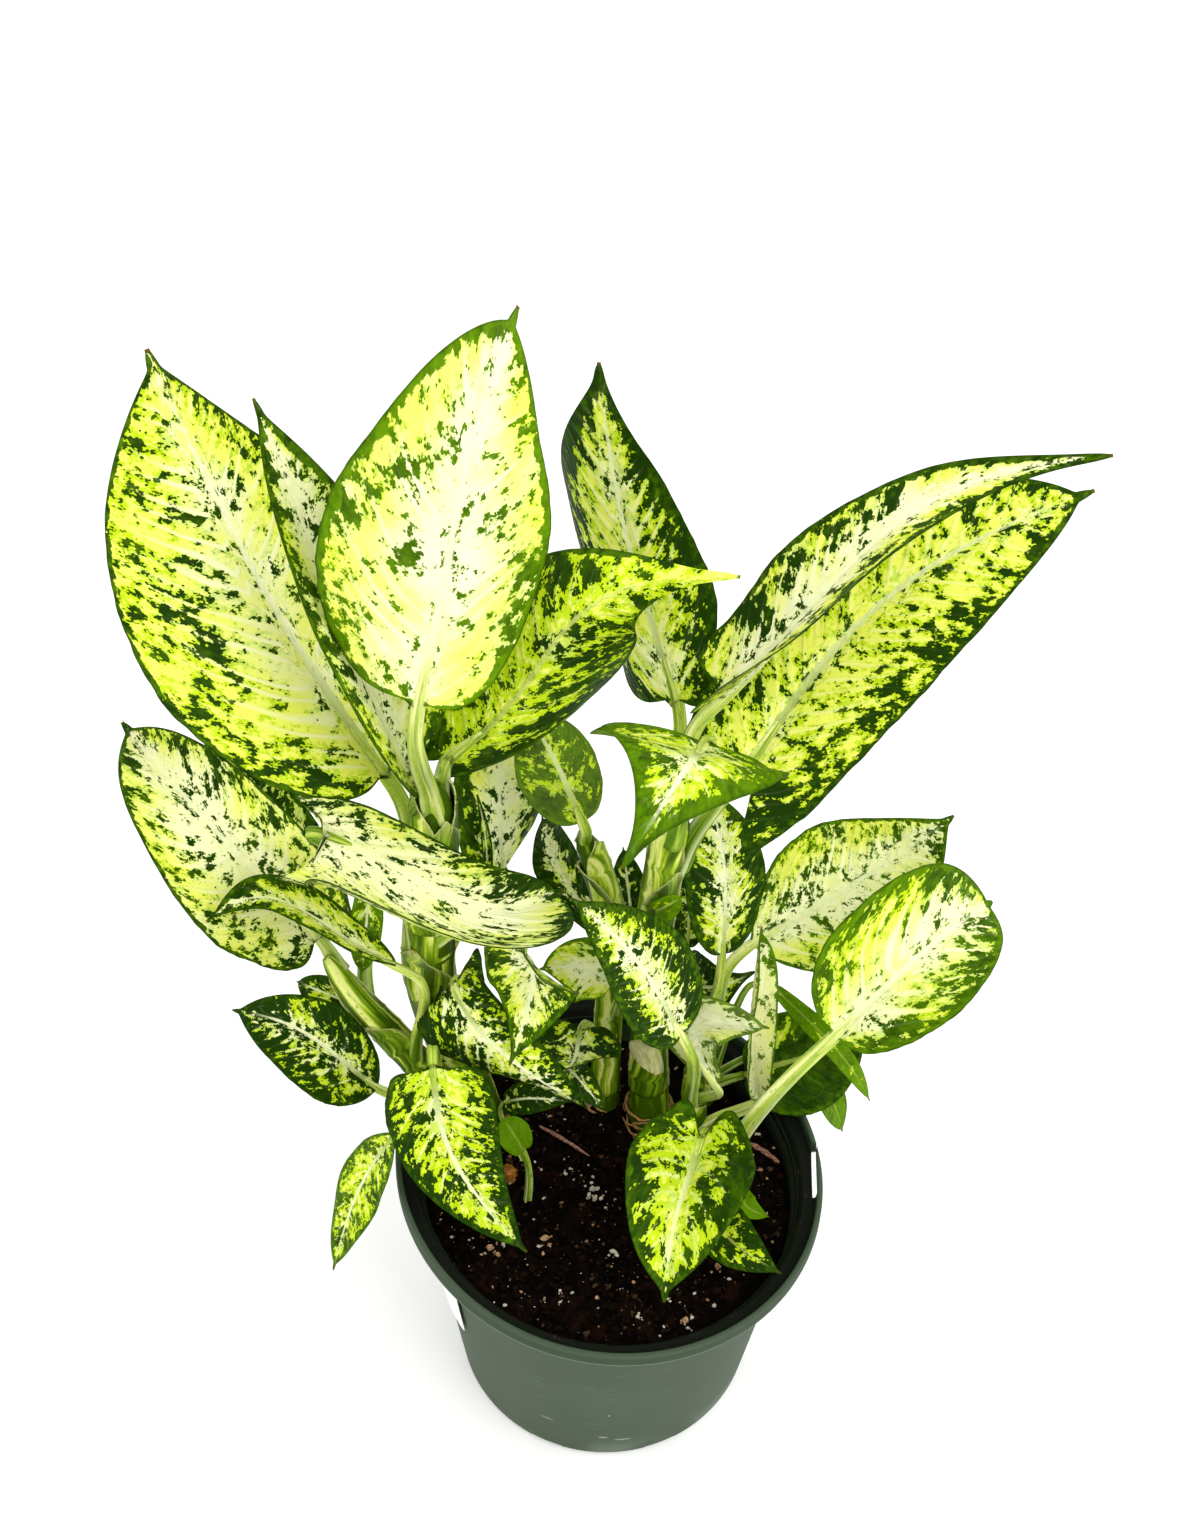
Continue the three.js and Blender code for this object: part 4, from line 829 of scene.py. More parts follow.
def stalk_axis(leaf):
    """The stalk leaves the cane, bends into the line of the midrib and runs out under the blade."""
    along, normal, _ = (d[0] for d in leaf.directions(np.zeros(1)))
    chord = leaf.base - leaf.root
    reach = float(np.linalg.norm(chord))
    depart = unit(chord / reach + np.array((0, 0, 0.8)))
    thin = leaf.stalk[1]
    knots = (
        leaf.root,
        leaf.root + depart * reach * 0.4,
        leaf.base - along * reach * 0.35 - normal * thin * 0.8,
        leaf.base - normal * thin * 0.75,
    )
    axis = []
    for u in (0, 0.25, 0.5, 0.75, 1):
        weights = ((1 - u) ** 3, 3 * u * (1 - u) ** 2, 3 * u * u * (1 - u), u ** 3)
        axis.append(sum(k * w for k, w in zip(knots, weights)))
    out = np.array([0.12])
    axis.append(leaf.midrib(out)[0] - leaf.directions(out)[1][0] * (0.7 + thin * 0.3))
    return axis, normal


def add_stalk(shape, leaf, seed):
    """The stalk, channelled above, with the two pale lips of its sheath along its lower half."""
    axis, normal = stalk_axis(leaf)
    steps, around = STALK_GRID
    points, ahead = smooth_curve(axis, steps)
    sides = carried_sides(ahead[::-1], normal)[::-1]
    thick, thin = leaf.stalk
    share = np.linspace(0, 1, steps + 1)
    radii = np.interp(share, (0, 0.8, 1), (thick, thin, thin * 0.5)) * (1 + 0.25 * bell(share, 0.12))

    def away(angle):
        return np.abs((angle + math.pi) % (2 * math.pi) - math.pi)

    def lips(angle, along, wide):
        return bell(away(angle) - LIP_TURN, wide) * ramp(along, LIP_END, LIP_END - 0.2)

    def section(angle, along):
        return 1 - CHANNEL * bell(away(angle), CHANNEL_WIDTH) + LIP_RISE * lips(angle, along, 0.2)

    rings, angle = tube(points, ahead, sides, radii, around, section)
    flow = triples(angle * thick, lengths(points)[:, None], seed * 5.1)
    white = STALK_WHITE.get(leaf.name, leaf.markings[4])
    paint = triples(share[:, None], lips(angle, share[:, None], 0.16), white)
    add_tube(shape, rings, 2, leaf_flow=flow, leaf_paint=paint)


def leaf_finish(name, under):
    """The blade's markings: pale ground, jagged dark specks along the side veins, margin and rib."""
    look = bpy.context.scene.dieffenbachia_leaves
    f = Finish(name)
    flow = f.attribute("leaf_flow")
    margin_gap, far, along = f.parts(f.attribute("leaf_zone"))
    dark_bias, lime_bias, white_share = f.parts(f.attribute("leaf_paint"))
    tone, from_rib, rib_width = f.parts(f.attribute("leaf_tint"))
    across_veins = f.parts(flow)[0]

    # Small angular cells carry the markings, so that every speck has jagged edges.
    snapped = f.between(0.82, flow, f.cells(flow, 3.4))
    fine = f.noise(snapped, 0.8, 3.0, 0.68) - 0.5
    islands = f.noise(f.moved(snapped, (31, 7, 3)), 0.34, 1.0, 0.5) - 0.5
    broad = f.noise(f.moved(flow, (9, 47, 5)), 0.1, 1.0, 0.5) - 0.5
    pepper = f.step(f.noise(f.moved(snapped, (3, 90, 40)), 1.9, 1.0, 0.5), 0.6, 0.68)
    field = fine * 13 + islands * 11 + broad * 5 + pepper * 1.5 + dark_bias + 0.2

    # Pale side veins, irregular in place and strength, and fading towards the margin.
    drift = f.noise(f.scaled(flow, (0.16, 0.06, 1)), 1.0, 1.0, 0.5) - 0.5
    phase = across_veins * 0.35 + drift * 2.2
    ridge = abs(phase - f.node("ShaderNodeMath", {"operation": "ROUND"}, {0: phase}))
    strength = f.step(f.noise(f.moved(f.scaled(flow, (0.3, 0.1, 1)), (0, 80, 0)), 1.0, 1.0, 0.5), 0.35, 0.6)
    vein = (1 - f.step(ridge, 0.02, 0.26)) * (1 - f.step(far, 0.35, 0.9)) * strength
    vein = vein * f.step(white_share, -0.4, 0.3)
    thin = (1 - f.step(ridge, 0.0, 0.07)) * (1 - f.step(far, 0.6, 1.0))

    # Specks keep off the pale veins, and lime lies between them.
    field = field - vein * 2.2
    specks = f.step(field, -0.05, 0.15)
    halo = f.step(field, -0.9, 0.0)
    patch = f.noise(f.moved(snapped, (5, 60, 11)), 0.55, 3.0, 0.65) - 0.5
    lime = f.step(patch * 5 + field * 0.8 + lime_bias + 1.25 - vein, -0.7, 0.6)
    wobble = f.noise(snapped, 0.5, 2.0, 0.6) - 0.5
    band = 1 - f.step(margin_gap + wobble * 2.6 + islands * 2.5, 0.75, 0.95)

    centre = 1 - f.step(far, 0.0, 0.7)
    whiteness = f.step(white_share + centre * 0.6 + vein * 0.35 + broad * 1.4 + patch * 0.6, 0.35, 1.35)
    ground = f.blend(lime, look.cream, look.lime)
    ground = f.blend(whiteness, ground, look.white)
    shade = tone + patch * 1.1 + broad * 0.8
    green = f.blend(f.step(shade, 0.0, 1.0), look.fresh, look.deep)
    edge_shade = tone + patch * 1.4 + wobble * 0.8 - 0.12
    rim = f.blend(f.step(edge_shade, 0.0, 1.0), look.fresh, look.deep)
    rim = f.blend((1 - f.step(margin_gap, 0.0, 0.35)) * 0.5, rim, look.deep)
    colour = f.blend(halo * 0.55, ground, f.blend(0.45, look.lime, look.fresh))
    colour = f.blend(specks, colour, green)
    colour = f.blend(band, colour, rim)

    dark = 1 - (1 - specks) * (1 - band)
    pale = "d5e0a0" if under else "fbfcc8"
    colour = f.blend((vein * 0.5 + thin * 0.25) * (1 - dark * 0.9), colour, pale)
    fade = 1 - f.step(along, 0.72, 0.93)
    rib = (1 - f.step(from_rib / rib_width + wobble * 1.1, 0.5, 1.1)) * fade
    rib_foot = f.blend(f.step(white_share, 0.1, 0.6), "a3b850", "eef3b8")
    rib_tip = f.blend(f.step(white_share, -0.35, 0.1), "c3d25c", "f8fbcc")
    rib_colour = f.blend(f.step(along, 0.02, 0.42), rib_foot, rib_tip)
    rib_line = f.step(from_rib / rib_width, 0.6, 1.0) * (1 - f.step(along, 0.1, 0.5)) * 0.5
    rib = rib * (f.step(white_share, -0.7, 0.0) * 0.62 + 0.3)
    colour = f.blend(rib, colour, f.blend(rib_line, rib_colour, "7f9a3c"))
    tip = f.step(along, 0.99, 0.999)
    colour = f.blend(tip, colour, "6b5a1e")
    if under:
        dull = f.step(0.6 - white_share * 0.5 - lime_bias * 0.35, 0.0, 1.2) * 0.8
        muted = f.blend(dull, colour, "9fb25c")
        colour = f.blend(f.step(broad, -0.3, 0.4) * 0.6 * dull, muted, "7f9048")

    grain = f.noise(flow, 7.0, 2.0, 0.6)
    relief = f.bump(fine + grain * 0.35, 0.0002, 0.5)
    relief = f.bump(1 - f.step(ridge, 0.0, 0.3), 0.0005, 0.5, relief)
    return f.set(
        Base_Color=colour,
        Roughness=grain * 0.16 + (0.52 if under else 0.38),
        Normal=relief,
        Specular_IOR_Level=0.03,
    )


def stalk_finish(name):
    """Pale green skin with lengthwise streaks, whiter in the channel's lips."""
    look = bpy.context.scene.dieffenbachia_leaves
    f = Finish(name)
    flow = f.attribute("leaf_flow")
    share, lip, white = f.parts(f.attribute("leaf_paint"))
    streak = f.noise(f.scaled(flow, (1.6, 0.08, 1)), 1.0, 3.0, 0.6)
    zone = f.noise(f.scaled(flow, (0.3, 0.025, 1)), 1.0, 2.0, 0.55)
    mottle = f.noise(f.scaled(flow, (0.8, 0.3, 1)), 1.0, 2.0, 0.7)
    depth = (zone - 0.5) * 2.4 + (streak - 0.5) * 0.7 + 0.76 - white * 0.25 - share * 0.45
    colour = f.node("ShaderNodeValToRGB", {"stops": (
        (0.05, "f0f4a4"), (0.32, "c8d85a"), (0.58, look.stalk), (0.95, "587c0c"),
    )}, {"Fac": depth})
    colour = f.blend(f.step(mottle, 0.58, 0.66) * (0.7 - white * 0.5), colour, "5f8a1c")
    colour = f.blend(f.step(white, 0.2, 1.0) * 0.35 * f.step(share, 0.2, 0.8), colour, "eef2b0")
    colour = f.blend(lip * 0.75, colour, "f0f3bc")
    return f.set(
        Base_Color=colour,
        Roughness=0.36 + mottle * 0.15,
        Normal=f.bump(streak, 0.0003, 0.5),
        Specular_IOR_Level=0.1,
    )


class DIEFFENBACHIA_OT_leaves(bpy.types.Operator):
    """Grow every leaf, its blade and its stalk"""

    bl_idname = "dieffenbachia.leaves"
    bl_label = "Grow leaves"

    def execute(self, context):
        look = context.scene.dieffenbachia_leaves
        finishes = (
            leaf_finish("leaf_upper", False), leaf_finish("leaf_under", True), stalk_finish("leaf_stalk"))
        for seed, row in enumerate(LEAVES):
            leaf = Leaf(row)
            shape = Shape()
            add_blade(shape, leaf, seed, look, np.random.default_rng(LEAF_SEED + seed))
            add_stalk(shape, leaf, seed)
            piece = shape.build(f"grown_{leaf.name}", finishes)
            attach(piece, BODY)
            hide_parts(f"leaf_{leaf.name}")
        return {"FINISHED"}


def cane_finish(name):
    """Light green with lengthwise streaks, pale dry edges on the sheaths, and some sheaths all dry."""
    look = bpy.context.scene.dieffenbachia_canes
    f = Finish(name)
    flow = f.attribute("cane_flow")
    tone, papery, edge = f.parts(f.attribute("cane_tint"))
    streak = f.noise(f.scaled(flow, (1.5, 0.05, 1)), 1.0, 3.0, 0.62)
    zone = f.noise(f.scaled(flow, (0.22, 0.018, 1)), 1.0, 2.0, 0.55)
    mottle = f.noise(f.scaled(flow, (0.5, 0.2, 1)), 1.0, 3.0, 0.7)
    depth = (zone - 0.5) * 3.6 + (streak - 0.5) * 0.9 + 0.78 + tone
    colour = f.node("ShaderNodeValToRGB", {"stops": (
        (0.05, "f2f694"), (0.25, "c4d740"), (0.48, look.green), (0.86, "3d5a00"),
    )}, {"Fac": depth})
    colour = f.blend(f.step(mottle, 0.57, 0.68) * 0.6, colour, "587f12")
    colour = f.blend(papery, colour, f.blend(f.step(mottle, 0.4, 0.6), "f1edc4", "d2c68c"))
    colour = f.blend(edge * 0.8, colour, f.blend(f.step(streak, 0.5, 0.62), look.sheath, "a98d4c"))
    return f.set(
        Base_Color=colour,
        Roughness=0.42 + mottle * 0.2,
        Normal=f.bump(streak * 0.7 + mottle * 0.3, 0.0006, 0.6),
        Specular_IOR_Level=0.1,
    )


def ring_places(length, pitch, draw):
    """How far up a cane its rings lie."""
    places = []
    at = pitch * 0.6
    while at < length - 4:
        places.append(at)
        at += pitch * draw.uniform(0.75, 1.2)
    return np.array(places)


def add_cane(shape, name, seed, settings, draw):
    """A cane with swollen rings where old leaves have fallen, and the leaf sheaths that wrap it above."""
    axis, radii = CANES[name]
    steps, around = CANE_GRID
    points, ahead = smooth_curve(axis, steps)
    sides = carried_sides(ahead, (1, 0, 0))
    share = np.linspace(0, 1, steps + 1)
    length = lengths(points)
    places = ring_places(length[-1], settings.node_pitch / MM * min(radii[0] / THICK_CANE, 1), draw)
    ring = bell(np.min(np.abs(length[:, None] - places), axis=1), RING_WIDTH)
    wide = np.interp(share * (len(radii) - 1), range(len(radii)), radii)
    wide = wide * (1 + RING_SWELL * ring) * np.sqrt(1 - 0.75 * ramp(share, 0.9, 1) ** 2)

    def section(angle, along):
        return 1 + 0.03 * np.sin(3 * angle + 9 * along) + 0.02 * np.sin(5 * angle - 4 * along)

    rings, angle = tube(points, ahead, sides, wide, around, section)
    # Darker in the few centimetres just above the soil: painted shade where the cane meets the soil.
    tone = CANE_TONES.get(name, CANE_TONE) + 0.5 * bell(np.maximum(points[:, 2] - SOIL_LEVEL, 0), 14)
    flow = triples(angle * radii[0], length[:, None], seed * 9.1)
    add_tube(shape, rings, 0, cane_flow=flow, cane_tint=triples(tone[:, None], 0 * angle, 0))
    course = (points, sides, np.cross(ahead, sides), wide[:, None])
    for number, sheath in enumerate(SHEATHS.get(name, ())):
        add_sheath(shape, course, sheath, seed * 9.1 + number * 3.7 + 2)
    count, height = FIBRES.get(name, (0, 0))
    for _ in range(count):
        add_fibre(shape, course, height, draw)


def add_sheath(shape, course, sheath, seed):
    """A leaf sheath: a thin shell that wraps the cane below and opens into a free tongue above."""
    low, high, turn, wrap, lift, tone, papery = sheath
    rows, across = SHEATH_GRID
    u, s = np.meshgrid(np.linspace(0, 1, rows), np.linspace(-1, 1, across), indexing="ij")
    at = (low + (high - low) * u) * (len(course[0]) - 1)
    first = np.minimum(at.astype(int), len(course[0]) - 2)
    rest = (at - first)[..., None]
    centre, side, back, wide = (a[first] * (1 - rest) + a[first + 1] * rest for a in course)
    angle = turn + wrap * (1 - 0.75 * u ** 2.5) * (1 - 0.8 * ramp(u, 0.8, 1) ** 2) * s
    out = wide[..., 0] + 0.3 + lift * u ** 3 + 0.45 * np.abs(s) ** 8 + 0.25 * np.sin(7 * u + 2 * s + seed)
    edge = np.clip(np.maximum(np.abs(s) ** 10, u ** 24), 0, 1)
    aim = side * np.cos(angle)[..., None] + back * np.sin(angle)[..., None]
    sides = [centre + aim * (out - depth)[..., None] for depth in (0, SHEATH_THICKNESS)]
    flow = triples(angle * out, u * (high - low) * 150, seed)
    add_shell(shape, sides, (0, 0), cane_flow=flow, cane_tint=triples(tone, papery, edge))


def add_fibre(shape, course, height, draw):
    """A dry strand that lies round the cane's foot."""
    turn, sweep = draw.uniform(0, 2 * math.pi), draw.uniform(0.8, 2.4)
    low = draw.uniform(0, height)
    rise = draw.uniform(-0.5, 0.5) * height
    axis, wide = course[0], course[3]
    foot = axis[np.argmin(np.abs(axis[:, 2] - SOIL_LEVEL - height / 2))]
    out = float(wide[0, 0]) + draw.uniform(0.2, 2.2)
    knots = []
    for k in np.linspace(0, 1, 5):
        angle = turn + sweep * k
        r = out + draw.uniform(-0.5, 0.9)
        z = max(SOIL_LEVEL + 1 + low + rise * k + draw.uniform(-0.8, 0.8), SOIL_LEVEL + 0.4)
        knots.append((foot[0] + r * math.cos(angle), foot[1] + r * math.sin(angle), z))
    steps, around = FIBRE_GRID
    points, ahead = smooth_curve(knots, steps)
    radii = draw.uniform(0.25, 0.55) * np.sqrt(1 - 0.8 * np.linspace(-1, 1, steps + 1) ** 4)
    rings, _ = tube(points, ahead, carried_sides(ahead, (0, 0, 1)), radii, around)
    add_tube(shape, rings, 1)


class DIEFFENBACHIA_OT_canes(bpy.types.Operator):
    """Grow the canes and shoots that carry the leaves"""

    bl_idname = "dieffenbachia.canes"
    bl_label = "Grow canes"

    def execute(self, context):
        look = context.scene.dieffenbachia_canes
        finishes = (cane_finish("cane_skin"), crumb_finish("cane_fibre", look.husk, "d1a068", 500))
        for seed, name in enumerate(CANES):
            shape = Shape()
            add_cane(shape, name, seed, look, np.random.default_rng(CANE_SEED + seed))
            piece = shape.build(f"grown_{name}", finishes)
            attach(piece, BODY)
            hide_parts(name)
        return {"FINISHED"}


def wall_out(z):
    """The wall's outer radius at a height, before the pot is put out of round."""
    return BASE_RADIUS + (BODY_TOP_RADIUS - BASE_RADIUS) * z / LIP_LEVEL


def oval_share(z, turn):
    """Out of round: the radius grows and shrinks twice around, by a share that rises with height."""
    level = np.clip(z / POT_HEIGHT, 0, 1.1)
    return 1 + OVAL * level * level * np.cos(2 * (turn - OVAL_TURN))


def lathe(profile, sides):
    """A closed turning of a profile of radius and height, out of round as the pot is: its points and faces."""
    profile = np.array(profile, float)
    angle = np.linspace(0, 2 * math.pi, sides, endpoint=False)
    r, z = profile[1:-1, :1], profile[1:-1, 1:]
    share = oval_share(z, angle[None, :])
    rings = triples(r * share * np.cos(angle), r * share * np.sin(angle), z)
    points = np.vstack([rings.reshape(-1, 3), [[0, 0, profile[0, 1]], [0, 0, profile[-1, 1]]]])
    faces = grid_faces(len(rings), sides, closed=True)
    first = len(rings) * sides
    for j in range(sides):
        k = (j + 1) % sides
        faces += [[first, k, j], [first + 1, first - sides + j, first - sides + k]]
    return points, faces


def rounded(profile, radius, steps=5):
    """The profile with its inner corners rounded off."""
    p = np.array(profile, float)
    out = [p[0]]
    for a, b, c in zip(p[:-2], p[1:-1], p[2:]):
        reach = min(radius, 0.45 * np.linalg.norm(a - b), 0.45 * np.linalg.norm(c - b))
        start, end = b + unit(a - b) * reach, b + unit(c - b) * reach
        for u in np.linspace(0, 1, steps):
            out.append((1 - u) ** 2 * start + 2 * u * (1 - u) * b + u * u * end)
    out.append(p[-1])
    return out


def cut(piece, cutters):
    """Cuts closed meshes out of a piece, and keeps the result as its mesh."""
    for cutter in cutters:
        step = piece.modifiers.new("cut", "BOOLEAN")
        step.operation = "DIFFERENCE"
        step.solver = "EXACT"
        step.object = cutter
    made = bpy.data.meshes.new_from_object(piece.evaluated_get(bpy.context.evaluated_depsgraph_get()))
    piece.modifiers.clear()
    piece.data = made
    for cutter in cutters:
        bpy.data.objects.remove(cutter)


def block(name, size, offset, turn):
    """A box of the given size in millimetres, moved and then turned about Z."""
    ends = (-0.5, 0.5)
    corners = np.array([[x, y, z] for x in ends for y in ends for z in ends]) * size + offset
    cos, sin = math.cos(turn), math.sin(turn)
    corners = corners @ np.array([[cos, sin, 0], [-sin, cos, 0], [0, 0, 1]])
    shape = Shape()
    shape.add(corners, [[0, 1, 3, 2], [4, 6, 7, 5], [0, 4, 5, 1], [2, 3, 7, 6], [0, 2, 6, 4], [1, 5, 7, 3]])
    return shape.build(name, [])


def pot_finish(name):
    """Moulded nursery plastic: a soft satin green with fine grain, dust, scuffs and rubbed edges, with painted
    shade inside the pot and under the lip, and a painted highlight along the lip's lower edge.
    """
    look = bpy.context.scene.dieffenbachia_pot
    f = Finish(name)
    place = f.place()
    grain = f.noise(place, 900, 2.0, 0.6)
    cloud = f.noise(place, 28, 3.0, 0.55)
    scuff = f.noise(f.scaled(place, (1, 1, 6)), 90, 4.0, 0.7)
    colour = f.blend(f.step(cloud, 0.3, 0.75) * 0.3, look.green, "5a6754")
    colour = f.blend(f.step(scuff, 0.62, 0.75) * 0.35, colour, look.edge)

    # In millimetres: how far a point lies within the wall, within the rim and above the lip's underside.
    x, y, z = f.parts(f.scaled(place, (1 / MM, 1 / MM, 1 / MM)))
    out = (x * x + y * y) ** 0.5
    twice = ((x * x - y * y) * math.cos(2 * OVAL_TURN) + x * y * (2 * math.sin(2 * OVAL_TURN))) / (out * out)
    level = z / POT_HEIGHT
    oval = level * level * twice * OVAL + 1
    within = (z * ((BODY_TOP_RADIUS - BASE_RADIUS) / LIP_LEVEL) + BASE_RADIUS) * oval - out
    inset = oval * RIM_RADIUS - out
    above = z - LIP_LEVEL

    # Masks for painted shade: the inner wall's top, the throat under the lip, the inside of the wall and the
    # ledge within the rim.
    hollow = f.step(within, 0.2 * WALL, 0.5 * WALL) * f.step(above, -4.5, -4)
    throat = f.step(inset, 5.5, 6.5) * f.step(above, -2, -1.6)
    inner = 1 - (1 - f.step(within, 0.5 * WALL, 0.9 * WALL)) * (1 - hollow) * (1 - throat)
    ledge_shade = f.step(inset, 2.1, 2.7) * f.step(above, 0.6, 1.2)
    face = f.step(-within, 3, 4.5)
    colour = f.blend(face * 0.8, colour, "31422c")
    colour = f.blend(face * f.step(z, POT_HEIGHT - 1.6, POT_HEIGHT - 0.6) * 0.1, colour, look.edge)
    # A pale line along the lip's rounded lower edge, in the rubbed-edge colour: painted highlight.
    lower = f.step(above, 0.1, 0.4) * (1 - f.step(above, 0.9, 1.4))
    colour = f.blend(face * lower * 0.5, colour, look.edge)
    # A darker band on the outer wall just under the lip: painted shade.
    under = (1 - face) * (1 - inner) * f.step(above, -4, 0)
    colour = f.blend(under * 0.35, colour, "1f2c22")
    foot = 1 - f.step(z, 0, 20)
    colour = f.blend(foot * f.step(cloud, 0.4, 0.7) * 0.4, colour, look.edge)
    seam = 1 - f.step(abs(x - SEAM), 0, 0.5)
    front = f.step(-y, 0, 10) * (1 - f.step(z, 109, 110.5))
    for (across, up), (wide, high), strength in WALL_MARKS:
        near = ((x - across) / wide) ** 2 + ((z - up) / high) ** 2 + (scuff - 0.5) * 1.5
        colour = f.blend(front * (1 - f.step(near, 0.4, 1.0)) * strength, colour, "c3ccbe")
    # Painted shade: the inside of the pot, the throat under the lip and the ledge within the rim go nearly black.
    colour = f.blend((inner + ledge_shade * (1 - inner)) * 0.93, colour, "030503")
    dirt = f.step(f.noise(place, 260, 3.0, 0.7), 0.6, 0.68)
    colour = f.blend(inner * dirt * 0.6, colour, "4a3826")
    return f.set(
        Base_Color=colour,
        Roughness=0.5 + cloud * 0.12 + scuff * 0.1,
        Normal=f.bump(grain * 0.3 + cloud * 0.2 + seam * front * 0.8, 0.00025, 0.5),
        Specular_IOR_Level=0.12,
    )


class DIEFFENBACHIA_OT_pot(bpy.types.Operator):
    """Turn the nursery pot, its rolled lip, drain notches and hanger slot"""

    bl_idname = "dieffenbachia.pot"
    bl_label = "Turn pot"

    def execute(self, context):
        look = context.scene.dieffenbachia_pot
        profile = [
            (0, 0),
            (BASE_RADIUS - 6, 0),
            (BASE_RADIUS - 1.2, 0),
            (wall_out(3), 3),
            (wall_out(LIP_LEVEL), LIP_LEVEL),
            (RIM_RADIUS, LIP_LEVEL),
            (RIM_RADIUS, POT_HEIGHT),
            (RIM_RADIUS - LIP_WIDTH * 0.4, POT_HEIGHT),
            (RIM_RADIUS - LIP_WIDTH * 0.5, LIP_LEVEL + 1.9),
            (wall_out(LIP_LEVEL) - WALL + 2.5, LIP_LEVEL + 1.3),
            (wall_out(LIP_LEVEL) - WALL, LIP_LEVEL - 3),
            (wall_out(FLOOR + 2) - WALL, FLOOR + 2),
            (wall_out(FLOOR) - WALL - 2, FLOOR),
            (0, FLOOR),
        ]
        shape = Shape()
        shape.add(*lathe(rounded(profile, POT_ROUNDING), look.sides))
        piece = shape.build("turned_pot", [pot_finish("pot_plastic")])
        cutters = []
        for i in range(DRAINS):
            turn = 2 * math.pi * (i + 0.5) / DRAINS
            size = (DRAIN_DEPTH, DRAIN_WIDTH, 2 * DRAIN_HEIGHT)
            cutters.append(block("drain", size, (BASE_RADIUS, 0, 0), turn))
        out = (RIM_RADIUS - SLOT_INSET) * oval_share(POT_HEIGHT, SLOT_TURN)
        size = (SLOT_WIDTH, SLOT_LENGTH, 2 * LIP_DEPTH)
        cutters.append(block("slot", size, (out, 0, POT_HEIGHT), SLOT_TURN))
        cut(piece, cutters)
        piece.data.shade_smooth()
        piece.data.set_sharp_from_angle(angle=math.radians(POT_CREASE))
        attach(piece, BODY)
        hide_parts("pot")
        return {"FINISHED"}


def soil_height(x, y, lumps):
    """The soil's top, in millimetres, in lumps of several sizes."""
    p = Vector((x, y, 0))
    broad = noise.noise(p * 0.045)
    crumb = noise.noise(p * 0.22) * 0.45
    fine = noise.noise(p * 0.7) * 0.28
    heap = 0
    for axis, radii in CANES.values():
        gap = max(math.hypot(x - axis[1][0], y - axis[1][1]) - radii[0], 0)
        heap = max(heap, 2.4 * math.exp(-(gap / 4) ** 2))
    return SOIL_LEVEL + lumps * (broad * 0.5 + crumb + fine) + heap


def soil_finish(name):
    """Nearly black peat with reddish bark in it."""
    look = bpy.context.scene.dieffenbachia_soil
    f = Finish(name)
    place = f.place()
    crumb = f.noise(place, 260, 4.0, 0.7)
    fleck = f.cells(place, 420, "Distance")
    colour = f.blend(f.step(crumb, 0.4, 0.75), look.peat, "1a110c")
    colour = f.blend(f.step(f.noise(place, 95, 3.0, 0.6), 0.58, 0.72) * 0.7, colour, look.bark)
    return f.set(
        Base_Color=colour,
        Roughness=0.75 + crumb * 0.25,
        Normal=f.bump(crumb + fleck * 0.4, 0.0014, 0.9),
        Specular_IOR_Level=0.02,
    )


def crumb_finish(name, dark, light, scale):
    """A chip or grain in the soil, mottled between two colours."""
    f = Finish(name)
    place = f.place()
    grain = f.noise(f.scaled(place, (1, 2.2, 1.4)), scale, 3.0, 0.65)
    return f.set(
        Base_Color=f.blend(f.step(grain, 0.35, 0.68), dark, light),
        Roughness=0.7 + grain * 0.25,
        Normal=f.bump(grain, 0.0005, 0.6),
        Specular_IOR_Level=0.04,
    )


# An icosahedron's corners.
PAIRS = [(a, b * 1.618) for a in (-1, 1) for b in (-1, 1)]
CORNERS = unit(np.array(
    [(a, b, 0) for a, b in PAIRS] + [(0, a, b) for a, b in PAIRS] + [(b, 0, a) for a, b in PAIRS]))


def ball_faces():
    """The twenty faces of the icosahedron on CORNERS."""
    faces = []
    for i, j, k in combinations(range(12), 3):
        a, b, c = CORNERS[i], CORNERS[j], CORNERS[k]
        if max(np.linalg.norm(a - b), np.linalg.norm(b - c), np.linalg.norm(c - a)) < 1.1:
            faces.append([i, j, k] if np.dot(np.cross(b - a, c - a), a) > 0 else [i, k, j])
    return faces


def add_crumb(shape, centre, size, flat, draw, finish, faces):
    """A jagged chip: an icosahedron with its corners moved about, stretched and turned."""
    points = CORNERS * draw.uniform(0.7, 1.15, (12, 1)) * np.array((1, draw.uniform(0.5, 0.9), flat)) * size
    axis = unit(draw.normal(size=3))
    turn = Matrix.Rotation(draw.uniform(0, 3), 3, Vector(axis))
    shape.add(points @ np.array(turn).T + centre, faces, finish)


